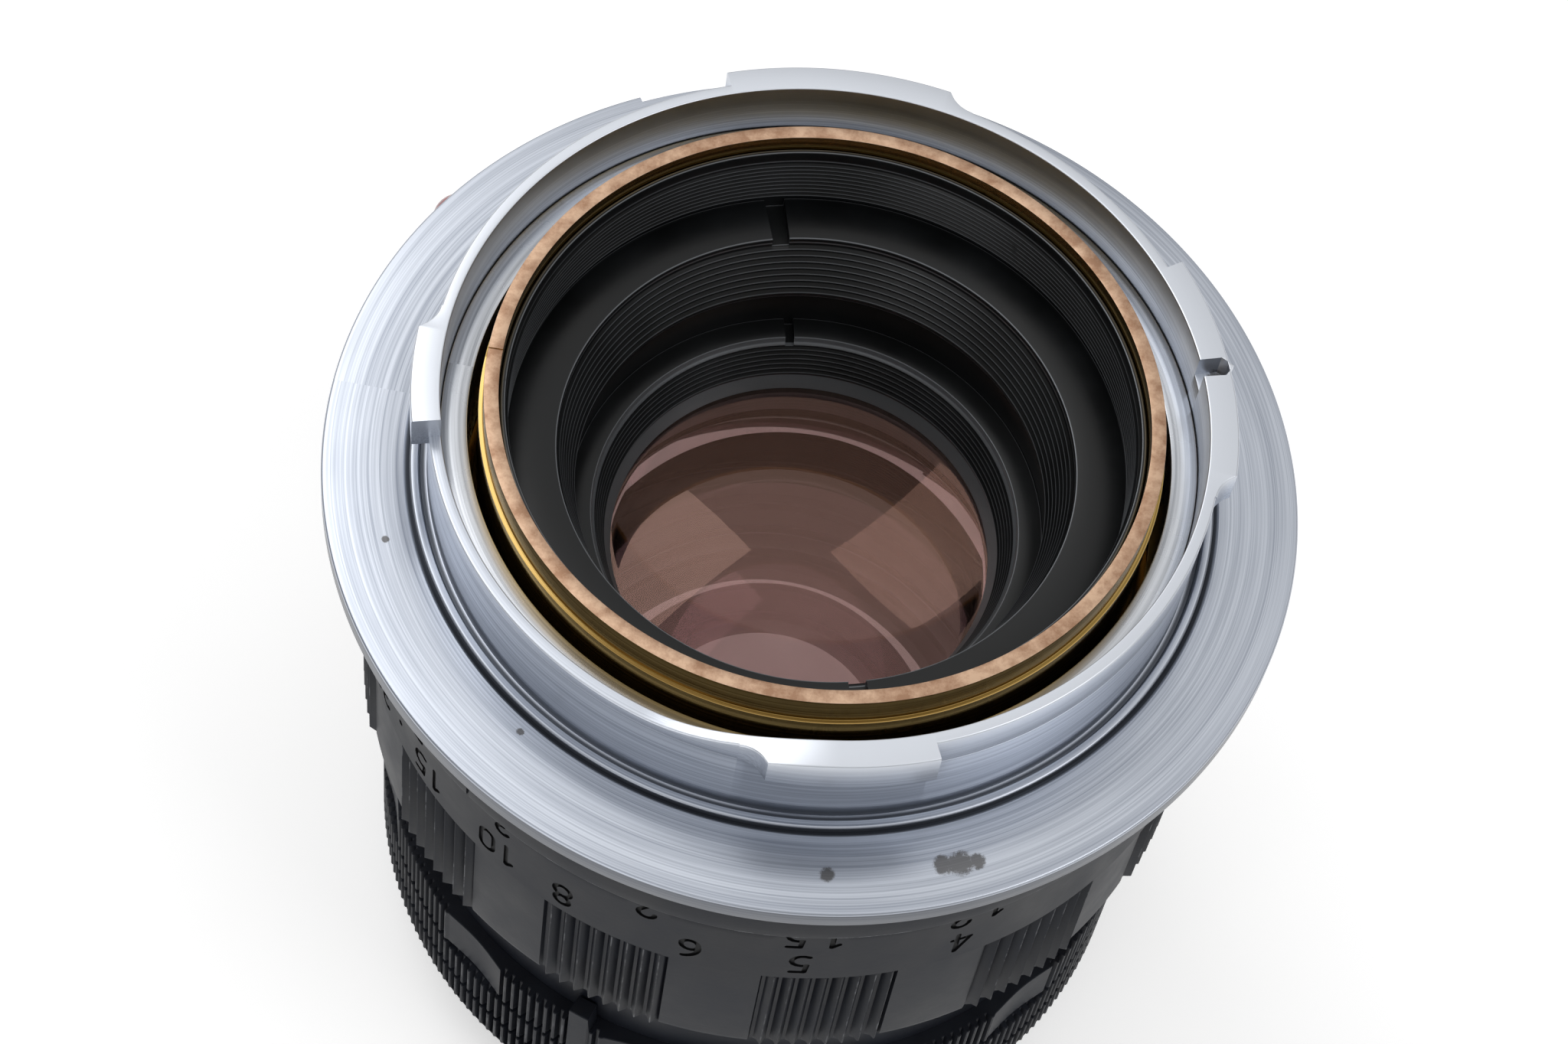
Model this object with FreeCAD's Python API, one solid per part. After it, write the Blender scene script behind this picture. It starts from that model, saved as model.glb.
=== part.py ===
import FreeCAD, Part
import math
import os

# Rangefinder-coupled bayonet lens, built as separate pieces in one frame.
# Origin: centre of the bayonet flange face.  +Z points to the camera side.
# Angles run anticlockwise from +X, seen from the camera side.  Millimetres.
# Every piece is drawn at the infinity setting with the iris fully open.

os.makedirs("parts", exist_ok=True)

# ---------------------------------------------------------------- dimensions
# bayonet mount
FLANGE_R = 27.85
FLANGE_T = 1.30
FLANGE_FLAT_R = 27.50
TUBE_R_OUT = 21.95
TUBE_R_IN = 21.28
TUBE_TOP = 7.44
LUG_R = 22.91
LUG_T = 2.30
LUGS = ((355.0, 396.0), (76.0, 113.5), (176.5, 196.5), (266.5, 293.5))
LUG_RAMP = 4.5
SHOULDER_R = 22.90
RIM_RELIEF = 1.60
LOCK_SLOT_AT = 17.5

# depth scale collar and focus ring
COLLAR_R = 26.30
COLLAR_END = -6.45
FOCUS_R = 25.60
SCALE_END = -13.40
GRIP_END = -23.50
GRIP_PANEL_R = 25.25
FLUTE_VALLEY_R = 25.02
FLUTE_PATCHES = 12
FLUTE_PATCH_AT = 253.9
FLUTE_PATCH_WIDTH = 17.4
FLUTES_PER_PATCH = 8
INDEX_AT = 195.6
FOCUS_TURN = 127.5

# fixed sleeve, drive sleeve and moving head
LEDGE_TOP = 3.90
LEDGE_R_IN = 19.75
BEARING_R = 22.60
BEARING_R_IN = 21.90
DRIVE_R_OUT = 21.85
HEAD_R = 20.00
NECK_R = 23.20
NECK_TOP = -24.00
NECK_END = -30.90

# aperture ring and front
APERTURE_R = 24.40
APERTURE_END = -42.40
APERTURE_BEARING_R = 22.00
APERTURE_TURN = 63.0
ROW_VALLEY_R = 23.95
ROW_PITCH = 1.5
FILTER_R = 19.50
FRONT_R = 21.40
FRONT_END = -46.50
THREAD_TOP = -43.25
THREAD_PITCH = 0.50
THREAD_DEPTH = 0.32
THREAD_TURNS = 5

# rangefinder cam tube
CAM_TOP = 6.98
CAM_R_OUT = 18.92
CAM_R_IN = 18.09
CAM_SHOULDER_R = 19.17
CAM_SHOULDER_TOP = 5.17

# light well
WELL_TOP = 6.05
RING1_TOP = 1.70
RING1_R_OUT = 17.65
RING1_R_IN = 14.73
RING2_TOP = -5.30
RING2_R_OUT = 13.87
RING2_R_IN = 12.46
LENS_EDGE_R = 12.20

# iris
BLADE_COUNT = 10
BLADE_PIVOT_R = 15.00
BLADE_R_IN = 11.20
BLADE_R_OUT = 14.30
BLADE_SPAN = 105.0
BLADE_T = 0.07
BLADE_PITCH = 0.11
BLADE_TOP = -24.20

# aperture ring rows: (low, high, with smooth panels), click stops in degrees
ROWS = ((-34.90, -31.00, True), (-38.30, -35.35, False), (-41.30, -38.75, False))
CLICKS = (0, 9, 18, 27, 36, 49.5, 63)

# small parts and where they sit, in degrees
BEAD_AT = 148.0
BEAD_Z = -3.10
BEAD_R = 1.60
DEPTH_MARKS = (6.6, 13.3, 19.0, 26.1, 37.9)
STOP_AT = INDEX_AT + 120.0
SCREW_ANGLES = (30, 120, 210, 300)
RING_SCREWS = (20, 140, 260)
DRIVE_SCREWS = (80, 200, 320)
CAM_SCREWS = (0, 120, 180, 300)
KEY_ANGLES = (60, 240)
OPTIC_R = 18.55
OPTIC_R_REAR = 18.02
PIN_AT = 150.0
PIN_Z = -33.20
PIN_R = 0.80
CLICK_AT = 60.0
CLICK_Z = -38.80
BLADE_ANGLES = [k * 360.0 / BLADE_COUNT for k in range(BLADE_COUNT)]

# clearances
RUN = 0.04
SLIDE = 0.05
SEAT = 0.03
KEY_SEAT = 0.005


# -------------------------------------------------------------- small helpers
def vec(x, y, z):
    return FreeCAD.Vector(x, y, z)


def polar(radius, angle, z):
    a = math.radians(angle)
    return vec(radius * math.cos(a), radius * math.sin(a), z)


def turned(points):
    """Solid of revolution about Z from a closed list of (radius, z) points."""
    loop = [vec(r, 0, z) for r, z in points]
    loop.append(loop[0])
    face = Part.Face(Part.makePolygon(loop))
    return face.revolve(vec(0, 0, 0), vec(0, 0, 1), 360)


def ring(r_in, r_out, z_low, z_high):
    return turned([(r_in, z_low), (r_out, z_low), (r_out, z_high), (r_in, z_high)])


def sector(r_in, r_out, z_low, z_high, a_from, a_to):
    """Part of a ring between two angles."""
    loop = [vec(r_in, 0, z_low), vec(r_out, 0, z_low), vec(r_out, 0, z_high), vec(r_in, 0, z_high)]
    loop.append(loop[0])
    body = Part.Face(Part.makePolygon(loop)).revolve(vec(0, 0, 0), vec(0, 0, 1), a_to - a_from)
    body.rotate(vec(0, 0, 0), vec(0, 0, 1), a_from)
    return body


def radial_pin(radius, r_from, r_to, angle, z):
    direction = polar(1, angle, 0)
    return Part.makeCylinder(radius, r_to - r_from, polar(r_from, angle, z), direction)


def radial_box(width, height, r_from, r_to, angle, z_mid):
    box = Part.makeBox(r_to - r_from, width, height, vec(r_from, -width / 2, z_mid - height / 2))
    box.rotate(vec(0, 0, 0), vec(0, 0, 1), angle)
    return box


def around(shape, angles):
    copies = []
    for angle in angles:
        one = shape.copy()
        one.rotate(vec(0, 0, 0), vec(0, 0, 1), angle)
        copies.append(one)
    return copies


def save(name, shapes):
    """One STEP file per piece; a list is kept as a group of separate solids."""
    if isinstance(shapes, list):
        shape = Part.makeCompound(shapes)
    else:
        shape = shapes
    for solid in shape.Solids:
        if not solid.isValid():
            print("not valid:", name)
    shape.exportStep("parts/" + name + ".step")
    print(name, len(shape.Solids), round(shape.Volume, 2))


def sawtooth(r_start, z_start, r_end, z_end, count, depth):
    """Points of a ridged wall between two (radius, z) ends, ridges pointing inward."""
    points = []
    for i in range(count):
        t0 = i / count
        t1 = (i + 0.55) / count
        points.append((r_start + (r_end - r_start) * t0 + depth, z_start + (z_end - z_start) * t0))
        points.append((r_start + (r_end - r_start) * t1, z_start + (z_end - z_start) * t1))
    points.append((r_end + depth, z_end))
    return points


# ------------------------------------------------------------------- the mount
def make_bayonet_mount():
    body = turned([(TUBE_R_IN, -FLANGE_T), (FLANGE_R, -FLANGE_T), (FLANGE_R, -0.12), (FLANGE_R - 0.12, 0),
                   (SHOULDER_R + 0.35, 0), (SHOULDER_R, -0.18), (SHOULDER_R, 0.22), (SHOULDER_R - 0.12, 0.32),
                   (22.45, 0.32), (22.30, -0.10), (TUBE_R_OUT, -0.10),
                   (TUBE_R_OUT, TUBE_TOP - 0.10), (TUBE_R_OUT - 0.10, TUBE_TOP),
                   (TUBE_R_IN + 0.08, TUBE_TOP), (TUBE_R_IN, TUBE_TOP - 0.08)])
    lug_low = TUBE_TOP - LUG_T
    lugs = []
    for a_from, a_to in LUGS:
        lug = sector(TUBE_R_OUT - 0.2, LUG_R, lug_low, TUBE_TOP, a_from, a_to)
        # the clockwise end of every lug runs out in a curved ramp
        ramp = sector(TUBE_R_OUT, LUG_R + 1, lug_low - 1, TUBE_TOP + 1, a_from - 1, a_from + LUG_RAMP)
        cutter = Part.makeCylinder(1.9, LUG_T + 2, polar(LUG_R + 1.0, a_from + 0.2, lug_low - 1))
        lug = lug.cut(ramp.common(cutter))
        lugs.append(lug)
    body = body.fuse(lugs)
    # part of the rim is cut lower, between the left lug and the bottom lug
    low = TUBE_TOP - RIM_RELIEF
    relief = sector(TUBE_R_IN - 1, LUG_R + 1, low, TUBE_TOP + 1, LUGS[2][1], 252.0)
    body = body.cut(relief)
    steps = []
    count = 12
    for i in range(count):
        a_from = 252.0 + i * 28.0 / count
        rise = RIM_RELIEF * (0.5 - 0.5 * math.cos(math.pi * (i + 0.5) / count))
        a_to = a_from + 28.0 / count
        steps.append(sector(TUBE_R_IN - 1, LUG_R + 1, low + rise, TUBE_TOP + 1, a_from, a_to))
    wedge = steps[0].multiFuse(steps[1:])
    body = body.cut(wedge)
    # locking slot in the right lug, pointed at its outer end
    slot = radial_box(1.15, 3.0, TUBE_R_IN - 0.6, LUG_R - 0.35, LOCK_SLOT_AT, TUBE_TOP)
    tip = radial_box(0.82, 3.0, -0.41, 0.41, 45, TUBE_TOP)
    tip.translate(vec(LUG_R - 0.35, 0, 0))
    tip.rotate(vec(0, 0, 0), vec(0, 0, 1), LOCK_SLOT_AT)
    body = body.cut([slot, tip])
    # shallow flat on the flange edge
    flat = sector(FLANGE_FLAT_R, FLANGE_R + 1, -FLANGE_T - 1, 1, 84.0, 121.0)
    body = body.cut(flat)
    # blind holes for the collar screws
    holes = around(Part.makeCylinder(0.50, 0.85, vec(23.95, 0, -FLANGE_T)), SCREW_ANGLES)
    return body.cut(holes)


def make_fixed_sleeve():
    body = turned([(LEDGE_R_IN, -3.0), (BEARING_R_IN, -3.0), (BEARING_R_IN, -22.0),
                   (BEARING_R - 0.25, -22.0), (BEARING_R - 0.25, -20.9), (BEARING_R, -20.9),
                   (BEARING_R, -3.0), (24.75, -3.0),
                   (24.75, -FLANGE_T), (TUBE_R_IN - 0.04, -FLANGE_T), (TUBE_R_IN - 0.04, LEDGE_TOP),
                   (LEDGE_R_IN + 0.10, LEDGE_TOP), (LEDGE_R_IN, LEDGE_TOP - 0.10)])
    holes = around(Part.makeCylinder(0.50, 4, vec(23.95, 0, -4)), SCREW_ANGLES)
    keys = [radial_pin(0.40, LEDGE_R_IN - 1, LEDGE_R_IN + 1.1, a, -2.15) for a in KEY_ANGLES]
    return body.cut(holes + keys)


def make_collar():
    body = turned([(BEARING_R + 0.06, -4.0), (BEARING_R + 0.06, -3.0), (24.80, -3.0), (24.80, -FLANGE_T),
                   (COLLAR_R, -FLANGE_T), (COLLAR_R, COLLAR_END + 0.08), (COLLAR_R - 0.08, COLLAR_END),
                   (24.80, COLLAR_END), (24.80, -4.0)])
    cuts = around(Part.makeCylinder(0.50, 4, vec(23.95, 0, -5)), SCREW_ANGLES)
    cuts.append(Part.makeCylinder(0.50, 2, polar(23.55, STOP_AT, -4.5)))
    cuts.append(radial_pin(1.65, COLLAR_R - 0.70, COLLAR_R + 2, BEAD_AT, BEAD_Z))
    # depth marks, in pairs about the index line
    for offset in DEPTH_MARKS:
        for side in (-1, 1):
            angle = INDEX_AT + side * offset
            cuts.append(radial_box(0.20, 0.95, COLLAR_R - 0.12, COLLAR_R + 1, angle, COLLAR_END + 0.45))
    cuts.append(radial_box(0.28, 1.6, COLLAR_R - 0.12, COLLAR_R + 1, INDEX_AT, COLLAR_END + 0.75))
    return body.cut(cuts)


def make_bead():
    stem = radial_pin(BEAD_R, COLLAR_R - 0.70, 27.70, BEAD_AT, BEAD_Z)
    dome = Part.makeSphere(BEAD_R, polar(27.70, BEAD_AT, BEAD_Z))
    return stem.fuse(dome).removeSplitter()


def make_collar_screws():
    shank = Part.makeCylinder(0.47, 3.35, vec(23.95, 0, -4.0))
    head = Part.makeCylinder(0.82, 0.60, vec(23.95, 0, -4.60))
    slot = Part.makeBox(2.0, 0.22, 0.25, vec(22.95, -0.11, -4.60))
    return around(shank.fuse(head).cut(slot), SCREW_ANGLES)


def make_guide_keys():
    keys = []
    for angle in KEY_ANGLES:
        half = math.degrees(1.5 / HEAD_R)
        key = sector(CAM_SHOULDER_R + 0.05, LEDGE_R_IN - KEY_SEAT, -17.0, -1.2, angle - half, angle + half)
        hole = radial_pin(0.40, CAM_SHOULDER_R - 1, LEDGE_R_IN + 1, angle, -2.15)
        keys.append(key.cut(hole))
    return keys


def make_key_screws():
    pins = []
    for angle in KEY_ANGLES:
        pins.append(radial_pin(0.38, CAM_SHOULDER_R + 0.08, LEDGE_R_IN + 1.05, angle, -2.15))
    return pins


def make_focus_retainer():
    body = ring(BEARING_R - 0.22, 23.10, -22.0, -20.95)
    slots = [radial_box(0.9, 0.5, BEARING_R - 1, 23.6, a, -22.0) for a in (0, 180)]
    return body.cut(slots)


def make_stop_pin():
    return Part.makeCylinder(0.48, 2.7, polar(23.55, STOP_AT, -5.9))


# -------------------------------------------------------------- the focus ring
def make_scale_ring():
    body = turned([(BEARING_R + RUN, SCALE_END), (FOCUS_R, SCALE_END), (FOCUS_R, COLLAR_END - 0.25),
                   (FOCUS_R - 0.15, COLLAR_END - 0.10), (24.70, COLLAR_END - 0.10), (24.70, -5.20),
                   (BEARING_R + RUN, -5.20)])
    half_pin = math.degrees(0.55 / 23.55)
    start = STOP_AT - half_pin
    groove = sector(22.95, 24.15, -6.10, -5.0, start, start + FOCUS_TURN + 2 * half_pin)
    cuts = [groove]
    screws = around(Part.makeCylinder(0.45, 3.0, vec(24.1, 0, SCALE_END - 0.5)), RING_SCREWS)
    return body.cut(cuts + screws)


def grip_outline():
    """Closed outline: fluted patches with smooth panels between them."""
    period = 360.0 / FLUTE_PATCHES
    pitch = FLUTE_PATCH_WIDTH / FLUTES_PER_PATCH
    points = []
    for k in range(FLUTE_PATCHES):
        start = FLUTE_PATCH_AT + k * period - FLUTE_PATCH_WIDTH / 2
        for i in range(FLUTES_PER_PATCH):
            a = start + i * pitch
            points.append((FLUTE_VALLEY_R, a))
            points.append((FLUTE_VALLEY_R, a + 0.22 * pitch))
            points.append((FOCUS_R, a + 0.60 * pitch))
            points.append((FOCUS_R, a + 0.72 * pitch))
        stop = start + FLUTE_PATCH_WIDTH
        gap = period - FLUTE_PATCH_WIDTH
        points.append((FLUTE_VALLEY_R, stop))
        points.append((FLUTE_VALLEY_R, stop + 0.25))
        for j in range(9):
            a = stop + 0.25 + (gap - 0.5) * j / 8
            points.append((GRIP_PANEL_R, a))
    return points


def outline_prism(points, r_in, z_low, z_high):
    corners = [polar(r, a, z_low) for r, a in points]
    corners.append(corners[0])
    outer = Part.makePolygon(corners)
    inner = Part.Wire([Part.Circle(vec(0, 0, z_low), vec(0, 0, 1), r_in).toShape()])
    face = Part.makeFace([outer, inner], "Part::FaceMakerBullseye")
    return face.extrude(vec(0, 0, z_high - z_low))


def make_grip_ring():
    body = outline_prism(grip_outline(), BEARING_R + RUN, GRIP_END, SCALE_END)
    chamfer = turned([(FOCUS_R - 0.45, GRIP_END), (FOCUS_R + 1, GRIP_END), (FOCUS_R + 1, GRIP_END + 1.0),
                      (FOCUS_R + 0.05, GRIP_END + 0.5)])
    bore = ring(BEARING_R - 1, 23.15, GRIP_END - 1, -20.95)
    seat = ring(BEARING_R - 1, 24.75, GRIP_END - 1, -22.25)
    screws = around(Part.makeCylinder(0.45, 3.0, vec(24.1, 0, SCALE_END - 2.5)), RING_SCREWS)
    drive = around(Part.makeCylinder(0.45, 2.0, vec(23.85, 0, -23.5)), DRIVE_SCREWS)
    return body.cut([chamfer, bore, seat] + screws + drive)


def make_ring_screws():
    pin = Part.makeCylinder(0.43, 3.9, vec(24.1, 0, SCALE_END - 2.0))
    return around(pin, RING_SCREWS)


def make_drive_sleeve():
    inner = HEAD_R + SLIDE
    body = turned([(inner, -23.40), (24.70, -23.40), (24.70, -22.25), (DRIVE_R_OUT, -22.25),
                   (DRIVE_R_OUT, -3.30), (inner, -3.30)])
    holes = []
    for angle in DRIVE_SCREWS:
        hole = Part.makeCylinder(0.45, 3.0, vec(23.85, 0, -24.0))
        sink = Part.makeCylinder(0.75, 0.60, vec(23.85, 0, -23.40))
        holes += around(hole.fuse(sink), (angle,))
    return body.cut(holes)


def make_drive_screws():
    shank = Part.makeCylinder(0.43, 1.55, vec(23.85, 0, -23.30))
    head = Part.makeCylinder(0.72, 0.48, vec(23.85, 0, -23.30))
    slot = Part.makeBox(2.0, 0.2, 0.18, vec(22.85, -0.1, -23.30))
    return around(shank.fuse(head).cut(slot), DRIVE_SCREWS)


# --------------------------------------------------------------- the lens head
def make_head_barrel():
    lip = OPTIC_R_REAR + SEAT
    bore = OPTIC_R + SEAT
    body = turned([(lip, -5.60), (lip, -8.00), (bore, -8.00), (bore, -43.0), (20.40, -43.0), (20.40, -41.0),
                   (APERTURE_BEARING_R, -41.0), (APERTURE_BEARING_R, NECK_END), (NECK_R, NECK_END),
                   (NECK_R, NECK_TOP + 0.15), (NECK_R - 0.15, NECK_TOP), (HEAD_R, NECK_TOP), (HEAD_R, -5.60)])
    half = math.degrees(1.56 / HEAD_R)
    cuts = []
    for angle in KEY_ANGLES:
        cuts.append(sector(CAM_SHOULDER_R, HEAD_R + 0.5, -20.5, -5.0, angle - half, angle + half))
    cuts.append(arc_slot(OPTIC_R - 1, APERTURE_BEARING_R + 1))
    cuts.append(radial_pin(0.80, OPTIC_R + 0.5, APERTURE_BEARING_R + 1, CLICK_AT, CLICK_Z))
    cuts += around(Part.makeCylinder(0.42, 2.5, vec(19.0, 0, -7.8)), CAM_SCREWS)
    return body.cut(cuts)


def arc_slot(r_in, r_out):
    """Slot that lets the iris drive pin travel with the aperture ring."""
    extra = math.degrees((PIN_R + 0.1) / r_in)
    low = PIN_Z - PIN_R - 0.1
    high = PIN_Z + PIN_R + 0.1
    return sector(r_in, r_out, low, high, PIN_AT - extra, PIN_AT + APERTURE_TURN + extra)


def make_cam_tube():
    body = turned([(CAM_R_IN, -5.60), (HEAD_R - 0.08, -5.60), (HEAD_R - 0.08, -4.40),
                   (CAM_SHOULDER_R, -4.40), (CAM_SHOULDER_R, CAM_SHOULDER_TOP),
                   (CAM_R_OUT, CAM_SHOULDER_TOP), (CAM_R_OUT, CAM_TOP - 0.04),
                   (CAM_R_OUT - 0.04, CAM_TOP), (CAM_R_IN + 0.04, CAM_TOP), (CAM_R_IN, CAM_TOP - 0.04)])
    half = math.degrees(1.56 / HEAD_R)
    cuts = []
    for angle in KEY_ANGLES:
        cuts.append(sector(CAM_SHOULDER_R, HEAD_R + 0.5, -6.0, -4.0, angle - half, angle + half))
    cuts += around(Part.makeCylinder(0.42, 3.0, vec(19.0, 0, -7.0)), CAM_SCREWS)
    # small assembly mark on the cam face
    cuts.append(radial_box(0.22, 0.16, CAM_R_IN - 1, CAM_R_OUT + 1, 182.0, CAM_TOP))
    return body.cut(cuts)


def make_cam_screws():
    return around(Part.makeCylinder(0.40, 3.0, vec(19.0, 0, -7.70)), CAM_SCREWS)


def make_optical_barrel():
    ridges = sawtooth(17.50, 5.15, 17.50, 1.95, 9, 0.16)
    points = [(OPTIC_R_REAR - 0.10, WELL_TOP), (17.72, WELL_TOP), (17.66, 5.30)]
    points += ridges
    points += [(17.68, 1.90), (17.68, -0.35), (15.65, -0.35), (15.65, -9.50), (14.45, -9.50), (14.45, -21.5),
               (11.40, -21.5), (11.60, -23.0), (16.75, -23.0), (16.75, -36.0), (OPTIC_R, -36.0),
               (OPTIC_R, -8.0), (OPTIC_R_REAR, -8.0), (OPTIC_R_REAR, WELL_TOP - 0.1)]
    body = turned(points)
    return body.cut(arc_slot(16.0, OPTIC_R + 1))


def make_slotted_ring_large():
    ridges = sawtooth(14.55, 1.15, 13.45, -2.35, 8, 0.17)
    points = [(RING1_R_OUT, RING1_TOP), (RING1_R_IN, RING1_TOP), (14.70, 1.35)]
    points += ridges
    points += [(13.62, -2.65), (15.60, -2.65), (15.60, -0.35), (RING1_R_OUT, -0.35)]
    body = turned(points)
    slots = [radial_box(1.10, 1.3, RING1_R_IN - 1.2, RING1_R_OUT + 1, a, RING1_TOP) for a in (107, 287)]
    return body.cut(slots)


def make_rear_cell():
    return turned([(13.90, -2.65), (15.62, -2.65), (15.62, -9.50), (14.42, -9.50), (14.42, -20.9),
                   (11.20, -20.9), (11.20, -20.1), (LENS_EDGE_R + SEAT, -20.1), (LENS_EDGE_R + SEAT, -8.90),
                   (13.90, -8.90)])


def make_slotted_ring_small():
    ridges = sawtooth(12.28, -5.60, 11.50, -7.90, 7, 0.12)
    points = [(RING2_R_OUT, RING2_TOP), (RING2_R_IN, RING2_TOP)]
    points += ridges
    points += [(11.63, -8.06), (11.14, -8.85), (RING2_R_OUT, -8.85)]
    body = turned(points)
    slots = [radial_box(0.55, 1.2, RING2_R_IN - 1.0, RING2_R_OUT + 1, a, RING2_TOP) for a in (103, 283)]
    return body.cut(slots)


def element(edge_r, rim_r_top, z_rim_top, bulge_top, rim_r_low, z_rim_low, bulge_low):
    """Glass element with ground flat rims; bulge is the height of the vertex above its rim."""
    top = vec(0, 0, z_rim_top + bulge_top)
    low = vec(0, 0, z_rim_low - bulge_low)
    rt = vec(rim_r_top, 0, z_rim_top)
    rl = vec(rim_r_low, 0, z_rim_low)
    at_top = arc_middle(rim_r_top, z_rim_top, bulge_top)
    at_low = arc_middle(rim_r_low, z_rim_low, -bulge_low)
    edges = [Part.makeLine(low, top), Part.Arc(top, at_top, rt).toShape(),
             Part.makeLine(rt, vec(edge_r, 0, z_rim_top)),
             Part.makeLine(vec(edge_r, 0, z_rim_top), vec(edge_r, 0, z_rim_low)),
             Part.makeLine(vec(edge_r, 0, z_rim_low), rl), Part.Arc(rl, at_low, low).toShape()]
    face = Part.Face(Part.Wire(edges))
    return face.revolve(vec(0, 0, 0), vec(0, 0, 1), 360)


def arc_middle(rim_r, z_rim, bulge):
    """Point halfway out on the spherical cap that rises by bulge over its rim."""
    radius = (rim_r * rim_r + bulge * bulge) / (2 * abs(bulge))
    r = rim_r / 2
    drop = radius - math.sqrt(radius * radius - r * r)
    sign = 1 if bulge > 0 else -1
    return vec(r, 0, z_rim + bulge - sign * drop)


def make_rear_element():
    return element(LENS_EDGE_R, 11.14, -8.85, 1.15, 11.3, -11.60, 0.75)


def make_rear_spacer():
    return ring(11.45, LENS_EDGE_R, -15.40, -11.60)


def make_rear_inner_element():
    return element(LENS_EDGE_R, 11.3, -15.40, 1.60, 10.2, -20.10, -3.20)


def make_iris_base():
    body = ring(11.65, 16.70, -24.10, -23.0)
    holes = around(Part.makeCylinder(0.35, 2, vec(BLADE_PIVOT_R, 0, -24.5)), BLADE_ANGLES)
    return body.cut(holes)


def make_blade(index):
    z_top = BLADE_TOP - index * BLADE_PITCH
    z_low = z_top - BLADE_T
    strip = sector(BLADE_R_IN, BLADE_R_OUT, z_low, z_top, -1.5, BLADE_SPAN)
    ear = Part.makeCylinder(0.65, BLADE_T, vec(BLADE_PIVOT_R, 0, z_low))
    neck = Part.makeBox(1.2, 1.0, BLADE_T, vec(BLADE_R_OUT - 0.5, -0.5, z_low))
    pivot = Part.makeCylinder(0.30, -23.2 - z_low, vec(BLADE_PIVOT_R, 0, z_low))
    body = strip.multiFuse([ear, neck, pivot]).removeSplitter()
    body.rotate(vec(0, 0, 0), vec(0, 0, 1), BLADE_ANGLES[index])
    return body


def make_iris_ring():
    body = turned([(11.65, -26.90), (11.65, -25.50), (16.65, -25.50), (16.65, -34.60), (16.25, -34.60),
                   (16.25, -26.90)])
    slots = []
    for angle in BLADE_ANGLES:
        slots.append(radial_box(0.9, 2.6, 12.6, 15.6, angle + 18.0, -26.2))
    slots.append(radial_pin(PIN_R + 0.01, 15, 18, PIN_AT, PIN_Z))
    return body.cut(slots)


def make_optical_nut():
    body = ring(17.10, OPTIC_R, -37.50, -36.0)
    slots = [radial_box(1.0, 0.9, 16.5, 19.0, a, -37.5) for a in (45, 225)]
    return body.cut(slots)


def make_front_cell():
    return turned([(12.60, -28.80), (16.10, -28.80), (16.10, -37.50), (OPTIC_R, -37.50), (OPTIC_R, -40.0),
                   (15.30, -40.0), (15.30, -35.40), (13.63, -35.40), (13.63, -30.20), (12.60, -30.20)])


def make_front_inner_element():
    return element(13.60, 10.4, -30.20, -2.60, 12.5, -34.20, 1.40)


def make_front_spacer():
    return turned([(12.7, -35.40), (12.7, -34.20), (13.60, -34.20), (13.60, -35.40)])


def make_front_element():
    return element(15.25, 12.6, -35.40, -0.90, 14.0, -38.60, 2.60)


def make_front_ring():
    """Bare ring round the front element, with fine steps and no lettering."""
    steps = [(14.05, -38.60)]
    for i in range(6):
        r = 14.35 + i * 0.62
        z = -39.9 - i * 0.45
        steps.append((r, z))
        steps.append((r + 0.30, z))
    points = steps + [(18.40, -42.6), (18.40, -40.0), (15.25, -40.0), (15.25, -38.60)]
    body = turned(points)
    slots = [radial_box(0.8, 0.7, 17.4, 19.0, a, -42.6) for a in (0, 180)]
    return body.cut(slots)


def make_filter_ring():
    """Front ring with its filter thread cut as closed grooves between cylindrical lands."""
    thread = []
    for i in range(THREAD_TURNS):
        z = THREAD_TOP - 0.05 - i * THREAD_PITCH
        thread.append((FILTER_R, z))
        thread.append((FILTER_R, z - 0.12))
        thread.append((FILTER_R + THREAD_DEPTH, z - 0.32))
        thread.append((FILTER_R + THREAD_DEPTH, z - 0.38))
    thread.append((FILTER_R, THREAD_TOP - 0.05 - THREAD_TURNS * THREAD_PITCH))
    points = [(20.43, -41.0), (20.43, -43.05), (18.75, -43.05), (18.75, THREAD_TOP), (FILTER_R, THREAD_TOP)]
    points += thread
    points += [(FILTER_R, FRONT_END + 0.35), (FILTER_R + 0.35, FRONT_END), (FRONT_R - 0.25, FRONT_END),
               (FRONT_R, FRONT_END + 0.25), (FRONT_R, -42.30), (23.20, -42.30), (23.20, -41.0)]
    return turned(points)


# ----------------------------------------------------------- the aperture ring
def row_outline(panels):
    """Outline of one fine-ridged row; with panels, smooth scoops break it up."""
    points = []
    count = int(round(360.0 / ROW_PITCH))
    for i in range(count):
        a = i * ROW_PITCH
        smooth = panels and ((a - 225.0) % 30.0) < 11.9
        if smooth:
            deep = math.sin(math.pi * (((a - 225.0) % 30.0) + 0.4) / 12.7)
            points.append((APERTURE_R - 0.12 - 0.33 * deep, a))
            continue
        points.append((ROW_VALLEY_R, a))
        points.append((ROW_VALLEY_R, a + 0.30 * ROW_PITCH))
        points.append((APERTURE_R, a + 0.50 * ROW_PITCH))
        points.append((APERTURE_R, a + 0.80 * ROW_PITCH))
    return points


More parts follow.
